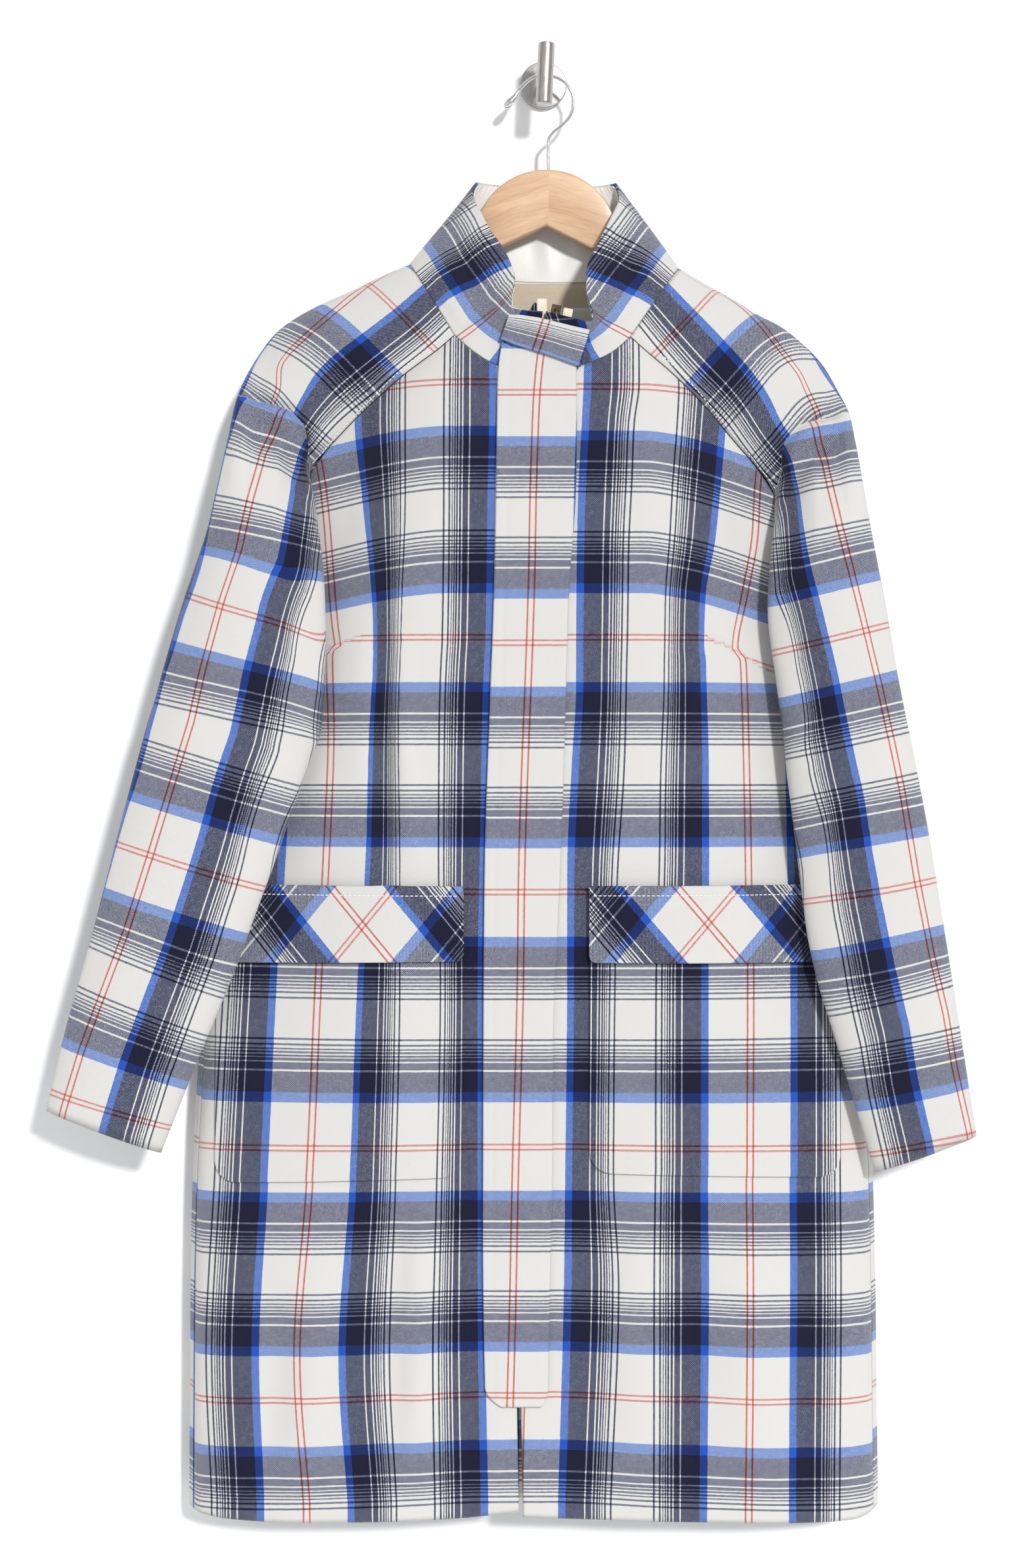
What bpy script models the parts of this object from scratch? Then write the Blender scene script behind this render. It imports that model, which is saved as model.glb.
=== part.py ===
"""Knee length raglan coat with a stand collar, hung on a wooden hanger and a wall hook.

Frame: X runs to the right of the front view, Y into the wall, Z up. The origin is the middle of
the wall plate's back face, so the wall is the plane y = 0 and the coat hangs at negative y and z.
The wearer's right side is at negative x. Each panel is a grid of outer points worked out from
the tables below, with its inner side one cloth thickness further in.
"""
import math

import bmesh
import bpy
import numpy as np
from mathutils import Matrix, Vector

CLOTH = 0.0022          # wool cloth
DOUBLE = 0.0030         # placket, tab and flaps, two layers sewn together
SATIN = 0.0012          # lining and labels
SEAM = 0.0004           # gap between neighbouring pieces at a seam
LAYER = 0.0007          # gap under a piece that lies on a panel
LOOSE = 0.0010          # gap behind the collar's lining
SIDE_WRAP = 0.19        # how far round the side the back panel comes, radians
MID_Y = 0.030           # depth of the body's side edges behind which the back lies
BACK_Y = 0.0035         # distance of the back panel's outer side from the wall

# Body sections from the neck down: height, side edges, depth of the front ahead of MID_Y,
# centre front line and how full the section is (0 chest, 1 hem).
BODY = [
    # z,      left,    right,   depth,  centre,  full
    (-0.150, -0.0750, 0.0750, 0.0560, 0.0006, 0.0),
    (-0.200, -0.1080, 0.1080, 0.0575, 0.0000, 0.0),
    (-0.229, -0.1300, 0.1290, 0.0590, -0.0035, 0.0),
    (-0.260, -0.1740, 0.1700, 0.0605, -0.0058, 0.0),
    (-0.290, -0.1960, 0.1920, 0.0620, -0.0066, 0.0),
    (-0.345, -0.2060, 0.2030, 0.0640, -0.0080, 0.0),
    (-0.400, -0.2170, 0.2130, 0.0650, -0.0096, 0.0),
    (-0.440, -0.2270, 0.2220, 0.0650, -0.0107, 0.0),
    (-0.482, -0.2380, 0.2330, 0.0640, -0.0119, 0.0),
    (-0.549, -0.2530, 0.2460, 0.0620, -0.0140, 0.0),
    (-0.661, -0.2740, 0.2620, 0.0600, -0.0180, 0.15),
    (-0.773, -0.2880, 0.2720, 0.0590, -0.0203, 0.45),
    (-0.884, -0.2960, 0.2780, 0.0580, -0.0216, 0.8),
    (-0.996, -0.2995, 0.2815, 0.0570, -0.0222, 1.0),
    (-1.108, -0.3005, 0.2830, 0.0560, -0.0212, 1.0),
    (-1.216, -0.3010, 0.2842, 0.0550, -0.0192, 1.0),
]
# How far forward the front stands across its half width.
PROFILE = [
    # across, chest, hem
    (0.00, 1.000, 1.000),
    (0.35, 0.985, 0.990),
    (0.50, 0.930, 0.965),
    (0.60, 0.835, 0.935),
    (0.70, 0.670, 0.890),
    (0.78, 0.510, 0.825),
    (0.86, 0.400, 0.735),
    (0.93, 0.310, 0.580),
    (0.97, 0.220, 0.400),
    (1.00, 0.000, 0.000),
]
# Soft vertical folds of the fronts: place at the top and hem, half width, height, where it begins.
FOLDS = [
    # top x,  hem x,  width, rise,   start z
    (-0.105, -0.130, 0.050, 0.0030, -0.42),
    (-0.060, -0.075, 0.035, -0.0020, -0.60),
    (-0.170, -0.215, 0.045, 0.0025, -0.75),
    (0.085, 0.100, 0.050, 0.0030, -0.40),
    (0.035, 0.045, 0.035, -0.0020, -0.62),
    (0.150, 0.190, 0.045, 0.0025, -0.78),
]
# Raglan part of each sleeve from the neck to the underarm: shoulder edge, front seam, back seam.
RAGLAN_RIGHT = [
    # out x,   out y,   out z,   seam x,  seam z,  back x,  back y,  back z,  bulge
    (-0.1144, -0.030, -0.1586, -0.0749, -0.2256, -0.0800, -0.0050, -0.1560, 0.003),
    (-0.1390, -0.030, -0.1692, -0.0892, -0.2374, -0.0930, -0.0050, -0.1750, 0.005),
    (-0.1619, -0.031, -0.1806, -0.1047, -0.2485, -0.1080, -0.0055, -0.1950, 0.007),
    (-0.1872, -0.030, -0.1915, -0.1197, -0.2596, -0.1230, -0.0065, -0.2170, 0.009),
    (-0.2086, -0.031, -0.2031, -0.1341, -0.2719, -0.1390, -0.0075, -0.2390, 0.011),
    (-0.2264, -0.032, -0.2162, -0.1509, -0.2863, -0.1550, -0.0100, -0.2620, 0.013),
    (-0.2407, -0.035, -0.2348, -0.1677, -0.3023, -0.1710, -0.0140, -0.2860, 0.015),
    (-0.2526, -0.045, -0.2577, -0.1835, -0.3189, -0.1850, -0.0260, -0.3110, 0.017),
    (-0.2597, -0.057, -0.2795, -0.1972, -0.3371, -0.1972, -0.0470, -0.3371, 0.019),
]
RAGLAN_LEFT = [
    # out x,   out y,   out z,   seam x,  seam z,  back x,  back y,  back z,  bulge
    (0.1150, -0.030, -0.1619, 0.0717, -0.2272, 0.0800, -0.0050, -0.1590, 0.003),
    (0.1396, -0.030, -0.1765, 0.0866, -0.2401, 0.0930, -0.0050, -0.1790, 0.005),
    (0.1608, -0.031, -0.1884, 0.1021, -0.2529, 0.1080, -0.0055, -0.2000, 0.007),
    (0.1815, -0.030, -0.2010, 0.1177, -0.2668, 0.1220, -0.0065, -0.2230, 0.009),
    (0.2028, -0.031, -0.2126, 0.1322, -0.2813, 0.1370, -0.0075, -0.2470, 0.011),
    (0.2222, -0.032, -0.2285, 0.1474, -0.2979, 0.1510, -0.0100, -0.2720, 0.013),
    (0.2371, -0.035, -0.2455, 0.1627, -0.3150, 0.1660, -0.0140, -0.2980, 0.015),
    (0.2488, -0.045, -0.2684, 0.1786, -0.3322, 0.1815, -0.0270, -0.3270, 0.017),
    (0.2569, -0.057, -0.2883, 0.1946, -0.3560, 0.1946, -0.0470, -0.3560, 0.019),
]
# Sleeve below the underarm: outer edge, inner edge, middle depth, front and back half depths.
SLEEVE_RIGHT = [
    # out x,   out z,   in x,    in z,    y,      front,  back
    (-0.2647, -0.3067, -0.1921, -0.3612, -0.0640, 0.020, 0.016),
    (-0.2697, -0.3332, -0.1885, -0.3853, -0.0720, 0.021, 0.015),
    (-0.2754, -0.3617, -0.1849, -0.4115, -0.0770, 0.022, 0.014),
    (-0.2828, -0.3933, -0.1825, -0.4419, -0.0790, 0.023, 0.014),
    (-0.3022, -0.4512, -0.1813, -0.5019, -0.0800, 0.024, 0.014),
    (-0.3171, -0.5018, -0.1851, -0.5529, -0.0800, 0.024, 0.015),
    (-0.3242, -0.5281, -0.1928, -0.5748, -0.0800, 0.023, 0.016),
    (-0.3319, -0.5539, -0.2010, -0.5973, -0.0820, 0.022, 0.013),
    (-0.3480, -0.6143, -0.2241, -0.6653, -0.0830, 0.021, 0.012),
    (-0.3595, -0.6588, -0.2384, -0.7037, -0.0835, 0.021, 0.012),
    (-0.3728, -0.7105, -0.2538, -0.7461, -0.0830, 0.020, 0.012),
    (-0.3856, -0.7562, -0.2709, -0.7884, -0.0810, 0.019, 0.013),
    (-0.3995, -0.8041, -0.2914, -0.8368, -0.0780, 0.018, 0.014),
    (-0.4163, -0.8719, -0.3196, -0.9074, -0.0740, 0.016, 0.014),
]
SLEEVE_LEFT = [
    # out x,   out z,   in x,    in z,    y,      front,  back
    (0.2606, -0.3095, 0.1924, -0.3816, -0.0640, 0.020, 0.016),
    (0.2645, -0.3360, 0.1892, -0.4068, -0.0720, 0.021, 0.015),
    (0.2684, -0.3628, 0.1867, -0.4318, -0.0770, 0.022, 0.014),
    (0.2730, -0.3895, 0.1859, -0.4567, -0.0790, 0.023, 0.014),
    (0.2836, -0.4458, 0.1917, -0.5074, -0.0800, 0.024, 0.014),
    (0.2941, -0.5051, 0.1988, -0.5600, -0.0800, 0.024, 0.015),
    (0.3001, -0.5364, 0.2015, -0.5896, -0.0800, 0.023, 0.016),
    (0.3067, -0.5693, 0.2054, -0.6214, -0.0820, 0.022, 0.013),
    (0.3195, -0.6369, 0.2137, -0.6900, -0.0830, 0.021, 0.012),
    (0.3255, -0.6737, 0.2186, -0.7268, -0.0835, 0.021, 0.012),
    (0.3322, -0.7149, 0.2270, -0.7642, -0.0830, 0.020, 0.012),
    (0.3395, -0.7589, 0.2370, -0.7961, -0.0810, 0.019, 0.013),
    (0.3468, -0.8030, 0.2497, -0.8374, -0.0780, 0.018, 0.014),
    (0.3614, -0.8929, 0.2758, -0.9233, -0.0740, 0.016, 0.014),
]
SHOULDER_SEAM = [
    # row share, how far the front half stays below the shoulder edge, radians
    (0.0, 0.42),
    (0.5, 0.36),
    (1.0, 0.10),
]
# Neck seam from the raglan seam to the placket on each front.
NECK_RIGHT = [
    # x,       z
    (-0.0749, -0.2256),
    (-0.0628, -0.2372),
    (-0.0500, -0.2465),
    (-0.0384, -0.2522),
    (-0.0220, -0.2562),
    (-0.0070, -0.2580),
]
NECK_LEFT = [
    # x,       z
    (0.0717, -0.2272),
    (0.0585, -0.2392),
    (0.0440, -0.2470),
    (0.0300, -0.2522),
    (0.0160, -0.2560),
    (-0.0030, -0.2580),
]
# Hem line of each front from the side seam to the centre slit.
HEM_RIGHT = [
    # x,       z
    (-0.2960, -1.2114),
    (-0.2650, -1.2140),
    (-0.2176, -1.2145),
    (-0.1462, -1.2130),
    (-0.0694, -1.2102),
    (-0.0215, -1.2050),
]
HEM_LEFT = [
    # x,       z
    (0.2790, -1.2114),
    (0.2600, -1.2160),
    (0.1900, -1.2150),
    (0.1226, -1.2129),
    (0.0403, -1.2113),
    (-0.0170, -1.2090),
]
BACK_HEM_Z = -1.2120
# Top edge of the collar from the centre front round the right side, back and left side.
COLLAR_TOP = [
    # share,  x,       y,       z
    (0.000, -0.0012, -0.0875, -0.2067),
    (0.030, -0.0189, -0.0870, -0.2050),
    (0.055, -0.0282, -0.0855, -0.2000),
    (0.085, -0.0268, -0.0825, -0.1880),
    (0.120, -0.0246, -0.0780, -0.1770),
    (0.155, -0.0315, -0.0690, -0.1556),
    (0.195, -0.0449, -0.0560, -0.1330),
    (0.240, -0.0527, -0.0450, -0.1166),
    (0.290, -0.0606, -0.0310, -0.0985),
    (0.330, -0.0569, -0.0170, -0.0855),
    (0.400, -0.0350, -0.0080, -0.0870),
    (0.500, 0.0030, -0.0060, -0.0895),
    (0.600, 0.0410, -0.0080, -0.0878),
    (0.670, 0.0616, -0.0170, -0.0862),
    (0.710, 0.0640, -0.0310, -0.1010),
    (0.755, 0.0569, -0.0450, -0.1200),
    (0.795, 0.0453, -0.0590, -0.1449),
    (0.830, 0.0360, -0.0700, -0.1666),
    (0.860, 0.0349, -0.0790, -0.1869),
    (0.888, 0.0389, -0.0840, -0.2025),
    (0.925, 0.0413, -0.0853, -0.2105),
    (0.945, 0.0372, -0.0858, -0.2148),
    (0.965, 0.0240, -0.0870, -0.2120),
    (1.000, 0.0012, -0.0875, -0.2067),
]
COLLAR_SWELL = 0.0025
COLLAR_ROWS = 5
BACK_NECK_DIP = 0.0060
# Placket edges from the neck to its rounded end.
PLACKET = [
    # z,      left,    right
    (-0.2330, -0.0358, 0.0290),
    (-0.2550, -0.0385, 0.0266),
    (-0.3085, -0.0396, 0.0268),
    (-0.3517, -0.0402, 0.0263),
    (-0.4320, -0.0417, 0.0209),
    (-0.5450, -0.0458, 0.0174),
    (-0.6590, -0.0496, 0.0139),
    (-0.8210, -0.0509, 0.0074),
    (-0.9180, -0.0511, 0.0069),
    (-0.9800, -0.0512, 0.0058),
    (-1.0420, -0.0506, 0.0042),
    (-1.1000, -0.0494, 0.0034),
]
PLACKET_END_Z = -1.1170
# Collar tab: top edge and bottom edge from the wearer's right to left.
TAB = [
    # x top,  z top,   x low,   z low
    (-0.0293, -0.2110, -0.0362, -0.2313),
    (-0.0196, -0.2113, -0.0250, -0.2362),
    (-0.0050, -0.2135, -0.0061, -0.2421),
    (0.0100, -0.2172, 0.0090, -0.2470),
    (0.0240, -0.2207, 0.0200, -0.2512),
    (0.0382, -0.2240, 0.0298, -0.2545),
]
POCKET_RIGHT = (-0.2746, -0.0694, -0.7000, -0.9330, -0.9262)
POCKET_LEFT = (0.0376, 0.2470, -0.7000, -0.9225, -0.9280)
FLAP_RIGHT = (-0.2735, -0.0670, -0.6840, -0.7500, -0.7465)
FLAP_LEFT = (0.0372, 0.2445, -0.6838, -0.7478, -0.7490)
POCKET_ROUND = 0.018    # radius of the pockets' lower corners
FLAP_ROUND = 0.006
# Hanger, one half: reach from its middle, top edge, bottom edge.
HANGER = [
    # reach,  top,     bottom
    (0.0000, -0.0774, -0.1256),
    (0.0125, -0.0787, -0.1317),
    (0.0250, -0.0827, -0.1378),
    (0.0350, -0.0884, -0.1428),
    (0.0450, -0.0971, -0.1477),
    (0.0520, -0.1062, -0.1511),
    (0.0565, -0.1145, -0.1535),
    (0.0700, -0.1300, -0.1605),
    (0.0850, -0.1440, -0.1690),
    (0.1000, -0.1565, -0.1775),
    (0.1150, -0.1680, -0.1860),
    (0.1400, -0.1810, -0.2000),
    (0.1630, -0.1925, -0.2125),
    (0.1860, -0.2048, -0.2248),
    (0.1980, -0.2130, -0.2320),
    (0.2060, -0.2185, -0.2355),
    (0.2105, -0.2230, -0.2360),
    (0.2125, -0.2270, -0.2330),
]
HANGER_X = 0.0031
HANGER_Y = -0.0260
HANGER_THICK = 0.0110
HANGER_TURN = math.radians(1.3)
HANGER_PIVOT_Z = -0.100
HANGER_ROUND = 0.0025
# Centre line of the hanger's wire from the wood up over the hook to its pressed tip.
WIRE = [
    # x,      z,       radius
    (0.0042, -0.0768, 0.0015),
    (0.0038, -0.0600, 0.0015),
    (0.0040, -0.0523, 0.0015),
    (0.0073, -0.0465, 0.0015),
    (0.0160, -0.0394, 0.0015),
    (0.0221, -0.0321, 0.0015),
    (0.0249, -0.0240, 0.0015),
    (0.0252, -0.0160, 0.0015),
    (0.0221, -0.0080, 0.0015),
    (0.0165, -0.0018, 0.0015),
    (0.0092, 0.0021, 0.0015),
    (0.0003, 0.0035, 0.0015),
    (-0.0076, 0.0018, 0.0015),
    (-0.0148, -0.0028, 0.0015),
    (-0.0204, -0.0089, 0.0017),
    (-0.0243, -0.0148, 0.0026),
    (-0.0285, -0.0195, 0.0037),
    (-0.0318, -0.0228, 0.0030),
    (-0.0332, -0.0242, 0.0012),
]
PLATE_R = 0.0200
PLATE_THICK = 0.0050
STEM_R = 0.0025
BAR_R = 0.0070
BAR_Y = -0.0500
BAR_TOP = 0.0251
BAR_LOW = -0.0260
BAR_LEAN = math.radians(2.5)
ROUND_SIDES = 28


def column(table, index):
    return np.array([row[index] for row in table], dtype=float)


def along(table, key, index, at):
    """Smooth value of one column at the given key, by a cubic with limited slopes."""
    x = column(table, key)
    y = column(table, index)
    if x[0] > x[-1]:
        x = x[::-1]
        y = y[::-1]
    step = np.diff(x)
    rise = np.diff(y) / step
    slope = np.zeros(len(x))
    same = rise[1:] * rise[:-1] > 0
    mean = (rise[1:] * step[:-1] + rise[:-1] * step[1:]) / (step[1:] + step[:-1])
    least = 2.0 * np.minimum(np.abs(rise[1:]), np.abs(rise[:-1]))
    slope[1:-1] = np.where(same, np.sign(mean) * np.minimum(np.abs(mean), least), 0.0)
    slope[0] = rise[0]
    slope[-1] = rise[-1]
    at = np.clip(np.asarray(at, dtype=float), x[0], x[-1])
    i = np.clip(np.searchsorted(x, at) - 1, 0, len(x) - 2)
    t = (at - x[i]) / step[i]
    a = y[i] * (2 * t**3 - 3 * t**2 + 1) + y[i + 1] * (3 * t**2 - 2 * t**3)
    b = slope[i] * (t**3 - 2 * t**2 + t) + slope[i + 1] * (t**3 - t**2)
    return a + b * step[i]


def front_y(x, z):
    """Depth of the front's outer side at a place on it."""
    x = np.asarray(x, dtype=float)
    z = np.asarray(z, dtype=float)
    left = along(BODY, 0, 1, z)
    right = along(BODY, 0, 2, z)
    middle = (left + right) / 2
    across = np.clip(np.abs(x - middle) / ((right - left) / 2), 0, 1)
    full = along(BODY, 0, 5, z)
    lift = along(PROFILE, 0, 1, across) * (1 - full) + along(PROFILE, 0, 2, across) * full
    y = -MID_Y - along(BODY, 0, 3, z) * lift
    for top_x, hem_x, width, rise, start in FOLDS:
        share = np.clip((start - z) / (start - BACK_HEM_Z), 0, 1)
        place = (x - (top_x + (hem_x - top_x) * share)) / width
        y = y - rise * share**0.7 * np.exp(-place**2)
    return y


def on_front(x, z, out):
    """Point lying over the front at a distance out from its outer side."""
    x = np.asarray(x, dtype=float)
    z = np.asarray(z, dtype=float)
    d = 0.001
    slope_x = (front_y(x + d, z) - front_y(x - d, z)) / (2 * d)
    slope_z = (front_y(x, z + d) - front_y(x, z - d)) / (2 * d)
    n = np.stack([slope_x, -np.ones_like(slope_x), slope_z], -1)
    n = n / np.linalg.norm(n, axis=-1, keepdims=True)
    return np.stack([x, front_y(x, z), z], -1) + n * out


def sample(points, count):
    """A line of points resampled to a count of equal steps along it."""
    points = np.asarray(points, dtype=float)
    length = np.r_[0, np.cumsum(np.linalg.norm(np.diff(points, axis=0), axis=1))]
    at = np.linspace(0, length[-1], count)
    return np.stack([np.interp(at, length, points[:, k]) for k in range(points.shape[1])], -1)


def sleeve_rows(raglan, lower, rows):
    """Sections of a sleeve: outer, front inner and back inner points, bulges and seam angle."""
    lower_at = np.linspace(0, 1, len(lower))
    table = [(at,) + row for at, row in zip(lower_at, lower)]
    sections = []
    for i, row in enumerate(raglan):
        share = i / (len(raglan) - 1)
        ox, oy, oz, fx, fz, bx, by, bz, bulge = row
        front = np.array([fx, float(front_y(fx, fz)), fz])
        back = front if i == len(raglan) - 1 else np.array([bx, by, bz])
        turn = float(along(SHOULDER_SEAM, 0, 1, share))
        sections.append((np.array([ox, oy, oz]), front, back, bulge, bulge * (0.35 + 0.45 * share**4), turn))
    for at in np.linspace(0, 1, rows):
        v = [float(along(table, 0, k, at)) for k in range(1, 8)]
        outer = np.array([v[0], v[4], v[1]])
        inner = np.array([v[2], v[4], v[3]])
        sections.append((outer, inner, inner, v[5], v[6], 0.10))
    return sections


def sleeve_grid(sections, front, columns):
    """Outer points of a sleeve half: each section swings from its outer to its inner point."""
    grid = []
    for outer, fore, rear, bulge, hollow, turn in sections:
        line = []
        start, end = (turn, math.pi) if front else (turn, -math.pi)
        for t in np.linspace(start, end, columns):
            a = abs(t)
            ahead = t >= 0
            goal = fore if ahead else rear
            p = outer + (goal - outer) * (1 - math.cos(a)) / 2
            reach = math.sin(a / 2) if ahead else 1 - (1 - math.sin(a / 2)) ** 2
            p[1] = outer[1] + (goal[1] - outer[1]) * reach
            p[1] += -bulge * math.sin(a) if ahead else hollow * math.sin(a)
            line.append(p)
        grid.append(line)
    return np.array(grid)


def patch(top, low, left, right):
    """Grid of (x, z) filling four edges: blends of opposite edges less the corners' plane."""
    rows = len(left)
    cols = len(top)
    drop = (left[:, 1] - left[0, 1]) / (left[-1, 1] - left[0, 1])
    v = drop[:, None, None]
    u = np.linspace(0, 1, cols)[None, :, None]
    ends = top[None] * (1 - v) + low[None] * v
    sides = left[:, None] * (1 - u) + right[:, None] * u
    flat = (top[0] * (1 - u) + top[-1] * u) * (1 - v) + (low[0] * (1 - u) + low[-1] * u) * v
    assert ends.shape == (rows, cols, 2)
    return ends + sides - flat


def side_points(body_side, start, count):
    """Side seam from the underarm to the hem, a little inside the body's side edge."""
    z = np.linspace(start[1], BACK_HEM_Z + 0.0006, count + 1)[1:]
    left = along(BODY, 0, 1, z)
    right = along(BODY, 0, 2, z)
    half = (right - left) / 2 * math.cos(SIDE_WRAP)
    x = (left + right) / 2 + body_side * half
    blend = np.clip((start[1] - z) / 0.10, 0, 1)
    edge = start[0] + (x - start[0]) * blend**0.8
    return np.stack([edge, z], -1)


def front_grid(body_side, raglan, neck, hem, rows, columns):
    seam = np.array([(row[3], row[4]) for row in raglan])
    side = side_points(body_side, seam[-1], rows)
    outer = np.vstack([seam, side])
    top = sample(neck, columns)
    low = sample(hem, columns)
    top[0] = outer[0]
    low[0] = outer[-1]
    drop = (outer[:, 1] - outer[0, 1]) / (outer[-1, 1] - outer[0, 1])
    z = top[-1, 1] + (low[-1, 1] - top[-1, 1]) * drop
    centre = along(BODY, 0, 4, z) + body_side * 0.0015
    top[-1, 0] = centre[0]
    low[-1, 0] = centre[-1]
    xz = patch(top, low, outer, np.stack([centre, z], -1))
    return np.stack([xz[..., 0], front_y(xz[..., 0], xz[..., 1]), xz[..., 1]], -1)


def back_rows(columns):
    """Back panel: straight across from raglan seam to raglan seam, then round the sides."""
    grid = []
    for right, left in zip(RAGLAN_RIGHT, RAGLAN_LEFT):
        a = np.array([right[5], right[6], right[7]])
        b = np.array([left[5], left[6], left[7]])
        last = right is RAGLAN_RIGHT[-1]
        if last:
            a[1] = float(front_y(a[0], a[2]))
            b[1] = float(front_y(b[0], b[2]))
        line = []
        for f in np.linspace(0, math.pi, columns):
            w = (1 - math.cos(f)) / 2
            p = a * (1 - w) + b * w
            near = math.exp(-(min(w, 1 - w) / 0.050) ** 1.2)
            end_y = a[1] if w < 0.5 else b[1]
            p[1] = -BACK_Y + (end_y + BACK_Y) * near
            if right is RAGLAN_RIGHT[0]:
                p[2] -= BACK_NECK_DIP * math.sin(f)
            line.append(p)
        grid.append(line)
    return grid


def back_grid(columns, rows):
    grid = back_rows(columns)
    start_r = np.array([RAGLAN_RIGHT[-1][3], RAGLAN_RIGHT[-1][4]])
    start_l = np.array([RAGLAN_LEFT[-1][3], RAGLAN_LEFT[-1][4]])
    side_r = side_points(-1, start_r, rows)
    side_l = side_points(1, start_l, rows)
    for (rx, rz), (lx, lz) in zip(side_r, side_l):
        z_mid = (rz + lz) / 2
        left = float(along(BODY, 0, 1, z_mid))
        right = float(along(BODY, 0, 2, z_mid))
        line = []
        for f in np.linspace(-SIDE_WRAP, math.pi + SIDE_WRAP, columns):
            share = (f + SIDE_WRAP) / (math.pi + 2 * SIDE_WRAP)
            z = rz + (lz - rz) * share
            x = (left + right) / 2 - (right - left) / 2 * math.cos(f)
            if 0 <= f <= math.pi:
                u = abs(math.cos(f))
                y = -MID_Y + (MID_Y - BACK_Y) * (1 - u**6) ** 0.5
            else:
                y = float(front_y(x, z))
            line.append(np.array([x, y, z]))
        line[0] = np.array([rx, float(front_y(rx, rz)), rz])
        line[-1] = np.array([lx, float(front_y(lx, lz)), lz])
        grid.append(line)
    return np.array(grid)


def face_normals(grid, flip):
    """Normal at each grid point from the faces round it, turned outward by flip."""
    a = grid[1:, 1:] - grid[:-1, :-1]
    b = grid[:-1, 1:] - grid[1:, :-1]
    n = np.cross(a, b) * flip
    total = np.zeros_like(grid)
    total[:-1, :-1] += n
    total[1:, :-1] += n
    total[:-1, 1:] += n
    total[1:, 1:] += n
    return total


def unit(v):
    return v / np.maximum(np.linalg.norm(v, axis=-1, keepdims=True), 1e-12)


def point_key(name, p, apart):
    """Panels share a point by its place; at the underarm body and sleeve are kept apart."""
    near = min(np.linalg.norm(p - q) for q in apart) < 0.002
    return (near and name.startswith("sleeve"), *np.round(p, 5))


def shared_normals(panels, apart):
    """Unit normals of all panels; points that panels share get one normal."""
    sums = {}
    raw = {}
    for name, (grid, flip) in panels.items():
        raw[name] = face_normals(grid, flip)
        for index in np.ndindex(grid.shape[:2]):
            key = point_key(name, grid[index], apart)
            sums[key] = sums.get(key, 0) + raw[name][index]
    normals = {}
    for name, (grid, flip) in panels.items():
        n = raw[name].copy()
        for index in np.ndindex(grid.shape[:2]):
            n[index] = sums[point_key(name, grid[index], apart)]
        normals[name] = unit(n)
    return normals


def trimmed(grid, gap):
    """Movement of each border point by gap towards the grid's inside."""
    move = np.zeros_like(grid)
    move[0] += unit(grid[1] - grid[0]) * gap
    move[-1] += unit(grid[-2] - grid[-1]) * gap
    move[:, 0] += unit(grid[:, 1] - grid[:, 0]) * gap
    move[:, -1] += unit(grid[:, -2] - grid[:, -1]) * gap
    return move


def material(name, colour, rough, metal=0.0):
    m = bpy.data.materials.new(name)
    m.use_nodes = True
    shader = m.node_tree.nodes["Principled BSDF"]
    shader.inputs["Base Color"].default_value = (*colour, 1.0)
    shader.inputs["Roughness"].default_value = rough
    shader.inputs["Metallic"].default_value = metal
    m.diffuse_color = (*colour, 1.0)
    return m


def add_object(name, verts, faces, mat, smooth=True):
    mesh = bpy.data.meshes.new(name)
    mesh.from_pydata([tuple(v) for v in verts], [], faces)
    bm = bmesh.new()
    bm.from_mesh(mesh)
    bmesh.ops.recalc_face_normals(bm, faces=bm.faces)
    if bm.calc_volume(signed=True) < 0:
        bmesh.ops.reverse_faces(bm, faces=bm.faces)
    bm.to_mesh(mesh)
    bm.free()
    mesh.materials.append(mat)
    if smooth:
        mesh.shade_smooth()
        mesh.set_sharp_from_angle(angle=math.radians(50))
    obj = bpy.data.objects.new(name, mesh)
    bpy.context.scene.collection.objects.link(obj)
    return obj


def sheet(name, outer, inner, mat):
    """Closed solid between two grids of points, both sides split along the same diagonals."""
    rows, cols = outer.shape[:2]
    count = rows * cols
    verts = np.vstack([outer.reshape(-1, 3), inner.reshape(-1, 3)])
    faces = []
    for i in range(rows - 1):
        for j in range(cols - 1):
            a = i * cols + j
            quad = (a, a + 1, a + cols + 1, a + cols)
            one = np.linalg.norm(outer[i, j] - outer[i + 1, j + 1])
            other = np.linalg.norm(outer[i, j + 1] - outer[i + 1, j])
            k = 0 if one <= other else 1
            quad = quad[k:] + quad[:k]
            for tri in ((quad[0], quad[1], quad[2]), (quad[0], quad[2], quad[3])):
                faces.append(tri)
                faces.append(tuple(count + v for v in reversed(tri)))
    border = [j for j in range(cols)]
    border += [i * cols + cols - 1 for i in range(1, rows)]
    border += [(rows - 1) * cols + j for j in range(cols - 2, -1, -1)]
    border += [i * cols for i in range(rows - 2, 0, -1)]
    for a, b in zip(border, border[1:] + border[:1]):
        faces.append((b, a, count + a, count + b))
    return add_object(name, verts, faces, mat)


def over_front(name, x, z, low, thick, mat):
    """Piece lying on the front: its points worked out on it and moved out."""
    return sheet(name, on_front(x, z, low + thick), on_front(x, z, low), mat)


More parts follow.
